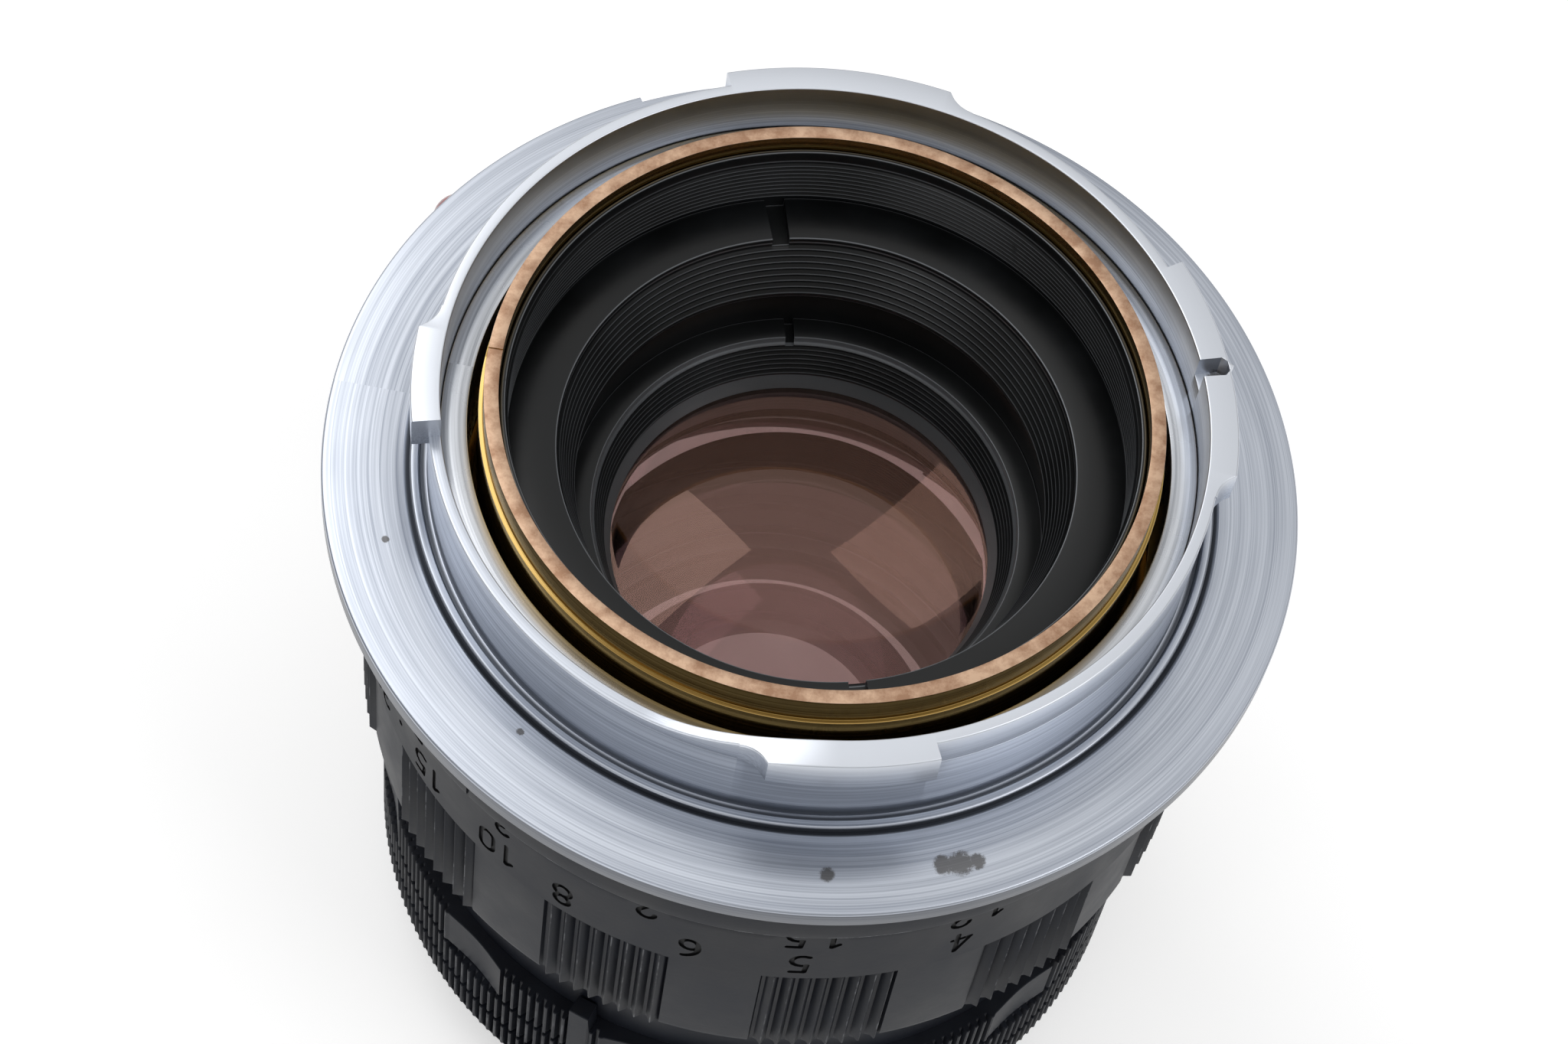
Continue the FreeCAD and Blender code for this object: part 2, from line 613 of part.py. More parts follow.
def make_aperture_ring():
    inner = APERTURE_BEARING_R + RUN
    core = turned([(inner, -31.0), (23.60, -31.0), (23.60, -41.3), (APERTURE_R - 0.1, -41.3),
                   (APERTURE_R - 0.1, -41.5), (23.55, APERTURE_END), (23.30, APERTURE_END), (23.30, -40.90),
                   (22.35, -40.90), (22.35, -39.70), (22.35, -37.90), (inner, -37.90)])
    rows = []
    for z_low, z_high, panels in ROWS:
        rows.append(outline_prism(row_outline(panels), 23.45, z_low, z_high))
    tab = sector(NECK_R + 0.15, APERTURE_R + 0.1, -34.0, -29.0, 249.5, 252.5)
    body = core.multiFuse(rows + [tab])
    cuts = [ring(inner - 1, NECK_R + 0.12, NECK_END - 0.08, -28.0)]
    for angle in CLICKS:
        groove = Part.makeCylinder(0.45, 2.2, polar(22.35, CLICK_AT - angle, -39.9))
        cuts.append(groove)
    cuts.append(radial_pin(PIN_R + 0.01, 21, 23.2, PIN_AT, PIN_Z))
    return body.cut(cuts)


def make_drive_pin():
    return radial_pin(PIN_R, 16.3, 23.15, PIN_AT, PIN_Z)


def make_click_ball():
    return Part.makeSphere(0.70, polar(21.62, CLICK_AT, CLICK_Z))


def make_click_spring():
    wire_r = 0.12
    height = 1.72
    helix = Part.makeHelix(0.50, height - 2 * wire_r, 0.50)
    profile = Part.Wire([Part.Circle(vec(0.50, 0, 0), vec(0, 1, 0), wire_r).toShape()])
    coil = Part.Wire(helix.Edges).makePipeShell([profile], True, True)
    place = FreeCAD.Placement(polar(OPTIC_R + 0.5 + wire_r + 0.02, CLICK_AT, CLICK_Z),
                              FreeCAD.Rotation(vec(0, 0, 1), polar(1, CLICK_AT, 0)))
    coil.Placement = place.multiply(coil.Placement)
    return coil


# --------------------------------------------------------------------- output
save("bayonet_mount", make_bayonet_mount())
save("fixed_sleeve", make_fixed_sleeve())
save("depth_collar", make_collar())
save("index_bead", make_bead())
save("collar_screws", make_collar_screws())
save("guide_keys", make_guide_keys())
save("key_screws", make_key_screws())
save("focus_retainer", make_focus_retainer())
save("focus_stop_pin", make_stop_pin())
save("focus_scale_ring", make_scale_ring())
save("focus_grip_ring", make_grip_ring())
save("ring_screws", make_ring_screws())
save("drive_sleeve", make_drive_sleeve())
save("drive_screws", make_drive_screws())
save("head_barrel", make_head_barrel())
save("cam_tube", make_cam_tube())
save("cam_screws", make_cam_screws())
save("optical_barrel", make_optical_barrel())
save("slotted_ring_large", make_slotted_ring_large())
save("slotted_ring_small", make_slotted_ring_small())
save("rear_cell", make_rear_cell())
save("rear_element", make_rear_element())
save("rear_spacer", make_rear_spacer())
save("rear_inner_element", make_rear_inner_element())
save("iris_base", make_iris_base())
for number in range(BLADE_COUNT):
    save("iris_blade_" + str(number + 1), make_blade(number))
save("iris_ring", make_iris_ring())
save("optical_nut", make_optical_nut())
save("front_cell", make_front_cell())
save("front_inner_element", make_front_inner_element())
save("front_spacer", make_front_spacer())
save("front_element", make_front_element())
save("front_ring", make_front_ring())
save("filter_ring", make_filter_ring())
save("aperture_ring", make_aperture_ring())
save("iris_drive_pin", make_drive_pin())
save("click_ball", make_click_ball())
save("click_spring", make_click_spring())
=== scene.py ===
# %% [markdown]
# # A small camera lens, seen from its bayonet end
# This lesson dresses a packed lens model.  The frame holds every piece at its real size and
# place.  Most visible pieces were turned on a lathe, so they could be made with Blender's
# Screw or Spin, or from cylinders cut with booleans.  Here each one is a surface worked out
# with numpy from the piece's own radii and heights, because lugs, slots and flutes are then
# only numbers that change with the angle, and the mesh stays closed.  Hidden pieces keep
# their frame mesh and only get a finish.

# %% Load the frame
import math

import bmesh
import bpy
import numpy as np
from mathutils import Matrix, Vector
from mathutils.geometry import delaunay_2d_cdt


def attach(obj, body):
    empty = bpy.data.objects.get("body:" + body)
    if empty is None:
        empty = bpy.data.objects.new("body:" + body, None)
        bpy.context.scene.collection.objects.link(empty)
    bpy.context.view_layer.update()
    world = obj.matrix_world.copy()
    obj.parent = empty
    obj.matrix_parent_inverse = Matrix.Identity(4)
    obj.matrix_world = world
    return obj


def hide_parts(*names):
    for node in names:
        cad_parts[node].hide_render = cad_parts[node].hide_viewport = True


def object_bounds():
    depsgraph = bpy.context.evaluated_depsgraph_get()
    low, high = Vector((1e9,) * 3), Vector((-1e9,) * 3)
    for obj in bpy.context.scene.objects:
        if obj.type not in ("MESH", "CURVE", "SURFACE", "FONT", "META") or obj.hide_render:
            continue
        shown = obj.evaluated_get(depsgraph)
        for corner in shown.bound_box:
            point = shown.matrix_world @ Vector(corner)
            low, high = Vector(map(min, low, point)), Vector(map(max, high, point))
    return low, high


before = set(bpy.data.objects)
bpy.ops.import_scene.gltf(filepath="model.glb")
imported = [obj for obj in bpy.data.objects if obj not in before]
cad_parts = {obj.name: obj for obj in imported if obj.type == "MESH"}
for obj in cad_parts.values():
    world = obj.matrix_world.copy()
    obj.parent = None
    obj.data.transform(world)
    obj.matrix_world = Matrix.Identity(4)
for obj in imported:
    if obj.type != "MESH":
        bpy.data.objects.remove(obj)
cad_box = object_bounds()

# %% [markdown]
# ## Camera first
# The lens is looked at from behind and above, with the flange facing the camera.  A camera
# can be given a target to track, or its own three axes.  The axes are used here, because
# the view is also rolled about 10 degrees, which a target alone doesn't say.

# %% Camera
MM = 0.001
ELEVATION = math.radians(58.449)
ROLL = math.radians(10.387)
DISTANCE_MM, SIDE_MM, LIFT_MM = 201.87, 1.7508, 3.0941
FOCAL_MM, SENSOR_MM = 81.5766, 36.0

right = np.array([1.0, 0, 0])
forward = np.array([0, math.cos(ELEVATION), -math.sin(ELEVATION)])
up = np.cross(right, forward)
rolled_right = math.cos(ROLL) * right + math.sin(ROLL) * up
rolled_up = -math.sin(ROLL) * right + math.cos(ROLL) * up
eye = -(SIDE_MM * rolled_right + LIFT_MM * rolled_up + DISTANCE_MM * forward) * MM

camera_data = bpy.data.cameras.new("camera")
camera_data.sensor_width = SENSOR_MM
camera_data.lens = FOCAL_MM
camera_data.clip_start = 0.005
camera = bpy.data.objects.new("camera", camera_data)
axes = Matrix(np.column_stack([rolled_right, rolled_up, -forward]).tolist()).to_4x4()
camera.matrix_world = Matrix.Translation(Vector(eye.tolist())) @ axes
bpy.context.collection.objects.link(camera)
bpy.context.scene.camera = camera
print("camera at", eye.round(4).tolist())

# %% [markdown]
# ## How a finish is written
# A finish is a small tree of nodes.  It could be drawn by hand in the shader editor; written
# out as code it can be read, and one recipe can make several finishes.  `add` puts in one
# node with its settings and links, and `srgb` turns a hex colour, as it would be read off a
# colour chart, into the linear light that the shader works in.

# %% Colours
DARK, LIGHT = (0, 0, 0, 1), (1, 1, 1, 1)


def srgb(code, alpha=1.0):
    """Hex colour to linear: c/12.92 below 0.04045, ((c+0.055)/1.055)^2.4 above."""
    values = []
    for i in (0, 2, 4):
        c = int(code[i:i + 2], 16) / 255
        values.append(c / 12.92 if c <= 0.04045 else ((c + 0.055) / 1.055) ** 2.4)
    return (*values, alpha)


print("middle grey in linear light:", round(srgb("808080")[0], 3))

# %% One function for all nodes


def add(tree, kind, settings=None):
    """One node.  A socket, or a node for its first output, is linked to the input of that
    name or number; "stops" fills a colour ramp; and anything else is the value of an input
    or a setting of the node."""
    node = tree.nodes.new("ShaderNode" + kind)
    for key, value in (settings or {}).items():
        if isinstance(value, bpy.types.Node):
            value = value.outputs[0]
        if isinstance(value, bpy.types.NodeSocket):
            tree.links.new(value, node.inputs[key])
        elif key == "stops":
            elements = node.color_ramp.elements
            while len(elements) < len(value):
                elements.new(0.5)
            for element, (position, colour) in zip(elements, value):
                element.position = position
                element.color = colour
        elif isinstance(key, int) or key in node.inputs:
            node.inputs[key].default_value = value
        else:
            setattr(node, key, value)
    return node


def new_material(name):
    """An empty material and its node tree."""
    material = bpy.data.materials.new(name)
    material.use_nodes = True
    material.node_tree.nodes.clear()
    return material, material.node_tree


def finish_with(tree, settings):
    """Adds the Principled shader and the output that every finish ends in."""
    shader = add(tree, "BsdfPrincipled", settings)
    add(tree, "OutputMaterial", {"Surface": shader})


# %% [markdown]
# ### Turning lines
# A lathe leaves fine rings round the axis.  They could be modelled, or painted on a flat
# picture of the surface.  Here X and Y are folded into a radius and a noise is read along
# it, so the rings are right on every face with no unwrapping.  Real tool marks are about
# 0.03 mm apart; the finest here are about 0.1 mm, drawn coarser so that they show.

# %% Radius, angle and turning lines


def around_axis(tree):
    """Sockets for the Object position, the radius, the height and the angle in radians."""
    place = add(tree, "TexCoord").outputs["Object"]
    parts = add(tree, "SeparateXYZ", {"Vector": place})
    x, y, z = parts.outputs
    flat = add(tree, "CombineXYZ", {"X": x, "Y": y})
    radius = add(tree, "VectorMath", {"operation": "LENGTH", 0: flat})
    angle = add(tree, "Math", {"operation": "ARCTAN2", 0: y, 1: x})
    return place, radius.outputs["Value"], z, angle.outputs[0]


def turning_lines(tree, radius, height, angle, pitch_mm, wander=0.15):
    """Noise in rings: radius and height at the line pitch, the angle only slowly."""
    slow = add(tree, "Math", {"operation": "MULTIPLY", 0: angle, 1: wander})
    line_r = add(tree, "Math", {"operation": "MULTIPLY", 0: radius, 1: 1 / (pitch_mm * MM)})
    line_z = add(tree, "Math", {"operation": "MULTIPLY", 0: height, 1: 1 / (pitch_mm * MM)})
    point = add(tree, "CombineXYZ", {"X": line_r, "Y": line_z, "Z": slow})
    return add(tree, "TexNoise",
               {"Vector": point, "Scale": 1.0, "Detail": 3.0, "Roughness": 0.6})


# %% [markdown]
# ### Marks of use and painted light on the mount
# The mount has been put in and taken out thousands of times.  Its lugs are polished, and the
# plating has lifted in a few ragged stains.  Light and shade are painted on it too: the top of
# the tube and lugs is paler, as polish with a painted highlight; the two grooves by the tube
# get painted shade; and the flange's edge gets a painted dark reflection.  They could be
# painted by hand; here each is told by its height, its radius or its distance from a point, so
# it stays sharp at any size.

# %% Polish and painted light
GROOVE_RADII = (22.2, 23.02)


def polish_and_painted_light(tree, place, radius, height, colour):
    """Paler from 5.2 to 7.2 mm up, as polish with a painted highlight; painted shade within
    0.24 mm of a groove's radius; and a painted dark reflection on the flange's edge, below
    -0.12 mm.  Returns the new colour."""
    # Polish on the lugs with a painted highlight: the higher up the tube and lugs, the paler.
    polish_and_lit_top = add(tree, "MapRange",
                {"Value": height, "From Min": 5.2 * MM, "From Max": 7.2 * MM})
    polish_and_highlight = add(tree, "Mix", {"data_type": "RGBA", 0: polish_and_lit_top, 6: colour, 7: srgb("cdd1d8")})
    # Painted shade: near the two grooves, low on the flange face, the colour is darkened.
    gaps = []
    for groove_r in GROOVE_RADII:
        off = add(tree, "Math", {"operation": "SUBTRACT", 0: radius, 1: groove_r * MM})
        gaps.append(add(tree, "Math", {"operation": "ABSOLUTE", 0: off}))
    nearest = add(tree, "Math", {"operation": "MINIMUM", 0: gaps[0], 1: gaps[1]})
    groove = add(tree, "MapRange", {"Value": nearest, "From Min": 0.08 * MM,
                                    "From Max": 0.24 * MM, "To Min": 0.85, "To Max": 0.0})
    low = add(tree, "MapRange", {"Value": height, "From Min": 0.1 * MM, "From Max": 0.5 * MM,
                                 "To Min": 1.0, "To Max": 0.0})
    groove_shade = add(tree, "Math", {"operation": "MULTIPLY", 0: groove, 1: low})
    with_groove_shade = add(tree, "Mix", {"data_type": "RGBA", 0: groove_shade, 6: polish_and_highlight.outputs[2],
                               7: srgb("34363a")})
    # Painted dark reflection on the flange's edge: below -0.12 mm the colour is darkened.
    below = add(tree, "MapRange", {"Value": height, "From Min": -0.12 * MM,
                                   "From Max": -0.20 * MM, "To Min": 0.0, "To Max": 0.75})
    edge = add(tree, "Mix", {"data_type": "RGBA", 0: below, 6: with_groove_shade.outputs[2],
                             7: srgb("2e3035")})
    return edge.outputs[2]


# %% Stains
STAINS = (((11.4, -23.0, 0), 1.0), ((10.5, -23.3, 0), 0.75), ((12.3, -22.7, 0), 0.6),
          ((4.45, -25.06, 0), 0.55), ((-13.1, -20.0, 0), 0.30), ((-22.7, -9.7, 0), 0.28),
          ((21.3, 6.8, 5.94), 0.75))


def stained(tree, place, radius, height, colour):
    """A stain (centre, size in mm) is 1 at its centre and 0 at 1.5 sizes.  The largest of
    them, times a fine noise, is stain wherever it passes a threshold."""
    grain = add(tree, "TexNoise",
                {"Vector": place, "Scale": 1 / (0.7 * MM), "Detail": 7.0, "Roughness": 0.85})
    cover = None
    for centre, size in STAINS:
        gap = add(tree, "VectorMath",
                  {"operation": "DISTANCE", 0: place, 1: [v * MM for v in centre]})
        near = add(tree, "MapRange", {"Value": gap.outputs["Value"], "From Min": 0.0,
                                      "From Max": size * 1.5 * MM, "To Min": 1.0,
                                      "To Max": 0.0})
        cover = near if cover is None else add(
            tree, "Math", {"operation": "MAXIMUM", 0: cover, 1: near})
    ragged = add(tree, "Math", {"operation": "MULTIPLY", 0: cover, 1: grain})
    mask = add(tree, "ValToRGB", {"Fac": ragged, "stops": ((0.22, DARK), (0.30, LIGHT))})
    part = add(tree, "Math", {"operation": "MULTIPLY", 0: mask, 1: 0.8})
    mixed = add(tree, "Mix", {"data_type": "RGBA", 0: part, 6: colour, 7: srgb("4a4641")})
    return mixed.outputs[2]


print("grooves:", len(GROOVE_RADII), "stains:", len(STAINS))

# %% [markdown]
# ### Satin chrome, turned aluminium and steel
# The mount is brass under satin chrome: pale, slightly blue, with rings of tool marks.  The
# inner sleeve is bright turned aluminium, and screws are plain steel.  Three materials could
# be written out; one recipe is enough, because only their colours, the spacing of the lines
# and the marks of use and painted light differ.  The bump is small, so highlights stretch but
# don't break.

# %% Metals


def make_chrome(name, base, dark, line_mm=0.11, rough=(0.24, 0.38), marks=()):
    """Rings of lighter and darker metal, in fine and broad lines; each mark is a function
    that takes the colour and returns a new one."""
    material, tree = new_material(name)
    place, radius, height, angle = around_axis(tree)
    lines = turning_lines(tree, radius, height, angle, line_mm, wander=0.5)
    broad = turning_lines(tree, radius, height, angle, 0.9, wander=1.2)
    cloud = add(tree, "TexNoise",
                {"Vector": place, "Scale": 1 / (9.0 * MM), "Detail": 4.0, "Roughness": 0.6})
    mixed = add(tree, "Mix", {"data_type": "FLOAT", 0: 0.35, 2: lines, 3: broad})
    tone = add(tree, "ValToRGB",
               {"Fac": mixed, "stops": ((0.30, srgb(dark)), (0.60, srgb(base)))})
    rough_at = add(tree, "MapRange", {"Value": cloud, "To Min": rough[0], "To Max": rough[1]})
    colour = tone.outputs[0]
    for mark in marks:
        colour = mark(tree, place, radius, height, colour)
    relief = add(tree, "Bump", {"Height": lines, "Strength": 0.35, "Distance": 0.005 * MM})
    finish_with(tree, {"Base Color": colour, "Metallic": 1.0, "Roughness": rough_at,
                       "Normal": relief})
    return material


# The mount's marks paint light: a highlight on the top, shade in the grooves and a dark
# reflection on the flange's edge; its stains are real.
satin_chrome = make_chrome("satin_chrome", "c3c8d1", "868c98", rough=(0.26, 0.40),
                           marks=(polish_and_painted_light, stained))
turned_aluminium = make_chrome("turned_aluminium", "c8cbd0", "75787e", line_mm=0.22,
                               rough=(0.20, 0.34))
steel = make_chrome("turned_steel", "b4b6ba", "85878c")
print("metals made:", satin_chrome.name, turned_aluminium.name, steel.name)

# %% [markdown]
# ### Brass
# The cam tube is bare brass.  Its wall is golden with turning bands; its end face, where the
# camera's roller runs, has tarnished to a mottled copper brown.  The face could be a second
# material, but that needs a hard border.  Here the face is told from the wall by which way
# the surface points and how high it is, so the two run into each other at the edge.

# %% Brass


def make_brass(name, wall, wall_dark, face, face_dark):
    """Two tones of turned brass, one for walls and one for faces that point up."""
    material, tree = new_material(name)
    place, radius, height, angle = around_axis(tree)
    lines = turning_lines(tree, radius, height, angle, 0.16, wander=0.4)
    wall_tone = add(tree, "ValToRGB",
                    {"Fac": lines, "stops": ((0.36, srgb(wall_dark)), (0.62, srgb(wall)))})
    spots = add(tree, "TexNoise",
                {"Vector": place, "Scale": 1 / (1.3 * MM), "Detail": 7.0, "Roughness": 0.7})
    face_tone = add(tree, "ValToRGB",
                    {"Fac": spots, "stops": ((0.38, srgb(face_dark)), (0.62, srgb(face)))})
    pointing = add(tree, "NewGeometry").outputs["Normal"]
    normal = add(tree, "SeparateXYZ", {"Vector": pointing})
    upward = add(tree, "MapRange",
                 {"Value": normal.outputs[2], "From Min": 0.6, "From Max": 0.9})
    end = add(tree, "MapRange", {"Value": height, "From Min": 6.3 * MM, "From Max": 6.6 * MM})
    is_face = add(tree, "Math", {"operation": "MULTIPLY", 0: upward, 1: end})
    colour = add(tree, "Mix", {"data_type": "RGBA", 0: is_face, 6: wall_tone, 7: face_tone})
    rough_at = add(tree, "MapRange", {"Value": is_face, "To Min": 0.22, "To Max": 0.45})
    relief = add(tree, "Bump", {"Height": lines, "Strength": 0.4, "Distance": 0.006 * MM})
    finish_with(tree, {"Base Color": colour.outputs[2], "Metallic": 1.0,
                       "Roughness": rough_at, "Normal": relief})
    return material


cam_brass = make_brass("cam_brass", "c2a366", "7d6534", "c8a98f", "9c7a62")
drive_brass = make_brass("drive_brass", "c6a75e", "927638", "c6a75e", "927638")
print("brass made:", cam_brass.name, drive_brass.name)

# %% [markdown]
# ### Black lacquer and matte black
# The barrel is lacquered black and worn to grey metal on its edges.  The light well is black
# anodised, so that stray light dies in its ridges; its ridge tops are grey, partly rubbed and
# partly a painted highlight.  Wear could be found by the shader, from how sharply the surface
# bends, but that is lost when the finish is baked at low detail.  Here each piece carries a
# number from 0 to 1 at every point, called wear, which is 1 on its corners; a cloudy noise
# decides where along a corner the metal shows.

# %% Blacks


def make_black(name, base, light, rough, bare="8b8d91", amount=0.5, grain_um=4.0, gloss=0.35):
    """Two dark tones in clouds, fine grain, turning lines, and bare metal where it is worn.
    More amount lowers the level that the noise has to pass before metal shows."""
    material, tree = new_material(name)
    place, radius, height, angle = around_axis(tree)
    cloud = add(tree, "TexNoise",
                {"Vector": place, "Scale": 1 / (6.0 * MM), "Detail": 5.0, "Roughness": 0.6})
    tone = add(tree, "ValToRGB",
               {"Fac": cloud, "stops": ((0.35, srgb(base)), (0.72, srgb(light)))})
    rough_at = add(tree, "MapRange", {"Value": cloud, "From Min": 0.3, "From Max": 0.7,
                                      "To Min": rough[0], "To Max": rough[1]})
    spread = add(tree, "TexNoise",
                 {"Vector": place, "Scale": 1 / (2.2 * MM), "Detail": 6.0, "Roughness": 0.7})
    level = 0.64 - 0.3 * amount
    where = add(tree, "ValToRGB",
                {"Fac": spread, "stops": ((level, DARK), (level + 0.10, LIGHT))})
    rubbed = add(tree, "Attribute", {"attribute_name": "wear"})
    worn = add(tree, "Math", {"operation": "MULTIPLY", 0: where, 1: rubbed.outputs["Fac"]})
    colour = add(tree, "Mix", {"data_type": "RGBA", 0: worn, 6: tone, 7: srgb(bare)})
    metal = add(tree, "Math", {"operation": "MULTIPLY", 0: worn, 1: 0.7})
    fine = add(tree, "TexNoise", {"Vector": place, "Scale": 1 / (0.35 * MM), "Detail": 2.0})
    grain = add(tree, "Bump",
                {"Height": fine, "Strength": 1.0, "Distance": grain_um * MM * MM})
    rings = turning_lines(tree, radius, height, angle, 0.15)
    relief = add(tree, "Bump", {"Height": rings, "Normal": grain, "Strength": 0.35,
                                "Distance": 0.004 * MM})
    finish_with(tree, {"Base Color": colour.outputs[2], "Metallic": metal,
                       "Roughness": rough_at, "Normal": relief,
                       "Specular IOR Level": gloss})
    return material


black_lacquer = make_black("black_lacquer", "12141a", "1f2229", (0.38, 0.52), amount=0.4,
                           gloss=0.12)
# Its high amount of wear also paints a highlight on the ridge tops of the well and the key
# rings.
well_black = make_black("matte_well_black", "08090a", "0f1113", (0.30, 0.42), bare="7a7d81",
                        amount=1.3, grain_um=1.0, gloss=0.32)
blade_black = make_black("blade_black", "343132", "474142", (0.34, 0.48), grain_um=0.3)
engraved_black = make_black("engraved_black", "060607", "0b0b0d", (0.55, 0.65), gloss=0.15)
print("blacks made:", black_lacquer.name, well_black.name, blade_black.name,
      engraved_black.name)

# %% [markdown]
# ### Coated glass
# Lens glass is clear, and a coating a few ten-thousandths of a millimetre thick tints what
# it reflects brown and mauve.  A thin film could be computed from its thickness; a tint on
# the reflection itself gives the same look and bakes well.  The faint clouding of old glass
# comes in as a little roughness, in patches about 4 mm wide.

# %% Glass


def make_glass(name, tint, clear, hazy):
    """Clear glass of index 1.70, its reflection tinted, slightly hazy in clouds."""
    material, tree = new_material(name)
    place = around_axis(tree)[0]
    haze = add(tree, "TexNoise", {"Vector": place, "Scale": 1 / (4.0 * MM), "Detail": 4.0})
    tone = add(tree, "ValToRGB",
               {"Fac": haze, "stops": ((0.3, srgb(clear)), (0.8, srgb(hazy)))})
    rough_at = add(tree, "MapRange", {"Value": haze, "To Min": 0.0, "To Max": 0.002})
    finish_with(tree, {"Base Color": tone, "Roughness": rough_at, "Transmission Weight": 1.0,
                       "IOR": 1.70, "Specular Tint": srgb(tint)})
    return material


rear_glass = make_glass("coated_rear_glass", "dcb09e", "ede1dc", "e5d6d0")
inner_glass = make_glass("coated_inner_glass", "cfa6b2", "ebe1e4", "e2d6da")
print("glass made:", rear_glass.name, inner_glass.name)

# %% [markdown]
# ### Red bead
# The bead that shows how to turn the lens into the camera is a dome of polished red
# plastic.  A plain red would do from far off; a swirl in two reds and a thin clear coat keep
# it from looking painted.

# %% Bead finish
bead_red, tree = new_material("polished_red_bead")
swirl = add(tree, "TexNoise",
            {"Vector": around_axis(tree)[0], "Scale": 1 / (1.2 * MM), "Detail": 3.0})
bead_tone = add(tree, "ValToRGB",
                {"Fac": swirl, "stops": ((0.3, srgb("7a0c1a")), (0.8, srgb("a01024")))})
finish_with(tree, {"Base Color": bead_tone, "Roughness": 0.18, "Coat Weight": 0.4})
print("materials:", len(bpy.data.materials))


# %% [markdown]
# ## Turned surfaces
# A turned piece is a closed outline in (radius, height) carried round the axis.  The Screw
# modifier does that for one fixed outline.  Here the outline may change with the angle: a
# lug is where some points move outward, a slot is where some points move down.  So each
# piece is two arrays, radius[angle, point] and height[angle, point].  A step in angle needs
# two angles very close together, or its wall would lean.

# %% Angles with steps
TINY = 0.004


def angles_with(steps, count=720):
    """Even angles plus a close pair at every step, so that walls stay upright."""
    even = np.arange(count) * 360.0 / count
    pairs = np.array([a + d for a in steps for d in (-TINY, TINY)]).reshape(-1)
    every = np.unique(np.round(np.concatenate([even, pairs % 360.0]), 5))
    keep = np.ones(len(every), bool)
    for a in np.asarray(steps) % 360.0:
        keep &= np.abs((every - a + 180) % 360 - 180) >= TINY * 0.9
    return every[keep]


def within(angle, start, stop):
    """1 between two angles, else 0; works across 360."""
    return (((angle - start) % 360.0) < ((stop - start) % 360.0)).astype(float)


ROUND = angles_with([], 540)
print("angles on a plain round piece:", len(ROUND))

# %% Outlines that follow the angle


def stacked(columns, theta):
    """Each column is (radius, height), and each of those is a number or one value per
    angle.  Returns them side by side, as two [angle, point] arrays."""
    return [np.stack([column[i] + 0 * theta for column in columns], 1) for i in (0, 1)]


def ridges(r_start, z_start, r_end, z_end, count, depth):
    """Sawtooth wall along the line from one (radius, height) to another: point t of the line
    is set out by depth at the start of a tooth and by nothing at 0.55 of it."""
    rows = []
    for i in range(count):
        for t, out in ((i / count, depth), ((i + 0.55) / count, 0.0)):
            rows.append((r_start + (r_end - r_start) * t + out,
                         z_start + (z_end - z_start) * t))
    rows.append((r_end + depth, z_end))
    return rows


print("points in a wall of 9 teeth:", len(ridges(17.50, 5.15, 17.50, 1.95, 9, 0.16)))

# %% [markdown]
# ## Softened corners
# No real edge is perfectly sharp: a lathe operator breaks it with a file, and the thin arc
# left there catches the light.  A Bevel modifier could round the finished mesh, but it
# stumbles on the close pairs of angles.  The corners are rounded in the outline instead,
# before there is any mesh, and the middle of each outer corner is marked as worn.

# %% Soften


def soften(radius, height, size):
    """Each corner p becomes p + a, p + (a + b) / 4 and p + b, a quadratic curve between the
    two edges, where |a| and |b| are at most size.  Wear is 1 in the middle of a corner that
    stands out, told by the sign of its turn, and 0 elsewhere."""
    p = np.stack([radius, height], -1)
    back = np.roll(p, 1, axis=1) - p
    ahead = np.roll(p, -1, axis=1) - p
    back_len = np.linalg.norm(back, axis=-1, keepdims=True)
    ahead_len = np.linalg.norm(ahead, axis=-1, keepdims=True)
    a = back / np.maximum(back_len, 1e-9) * np.minimum(size, 0.42 * back_len)
    b = ahead / np.maximum(ahead_len, 1e-9) * np.minimum(size, 0.42 * ahead_len)
    joined = np.stack([p + a, p + (a + b) / 4, p + b], axis=2).reshape(p.shape[0], -1, 2)
    turn = ahead[..., 0] * back[..., 1] - ahead[..., 1] * back[..., 0]
    r, z = p[..., 0], p[..., 1]
    area = (r * np.roll(z, -1, 1) - z * np.roll(r, -1, 1)).sum(1).mean()
    outer = (turn * area > 0).astype(float)
    wear = np.stack([0 * outer, outer, 0 * outer], axis=2).reshape(p.shape[0], -1)
    return joined[..., 0], joined[..., 1], wear


square = stacked([(1, 0), (2, 0), (2, 1), (1, 1)], np.zeros(1))
print("a square outline softened has", soften(*square, 0.1)[0].shape[1], "points")

# %% [markdown]
# ## From arrays to a mesh
# A grid of points becomes quads that wrap round the axis.  `from_pydata` takes them as they
# are; merging doubles then closes poles and drops faces of no area.  The count of open edges
# and the volume are printed for each piece, because a closed piece has no open edge and a
# volume that can be compared with the drawing.

# %% Mesh and skin


def grid_faces(rows, columns, wrap_columns=True):
    """Quads (i, j), (i, j+1), (i+1, j+1), (i+1, j) of a grid whose rows wrap round."""
    i = np.arange(rows)
    j = np.arange(columns if wrap_columns else columns - 1)
    a, b = np.meshgrid(i, j, indexing="ij")
    a2 = (a + 1) % rows
    b2 = (b + 1) % columns
    quads = [a * columns + b, a * columns + b2, a2 * columns + b2, a2 * columns + b]
    return np.stack(quads, -1).reshape(-1, 4).tolist()


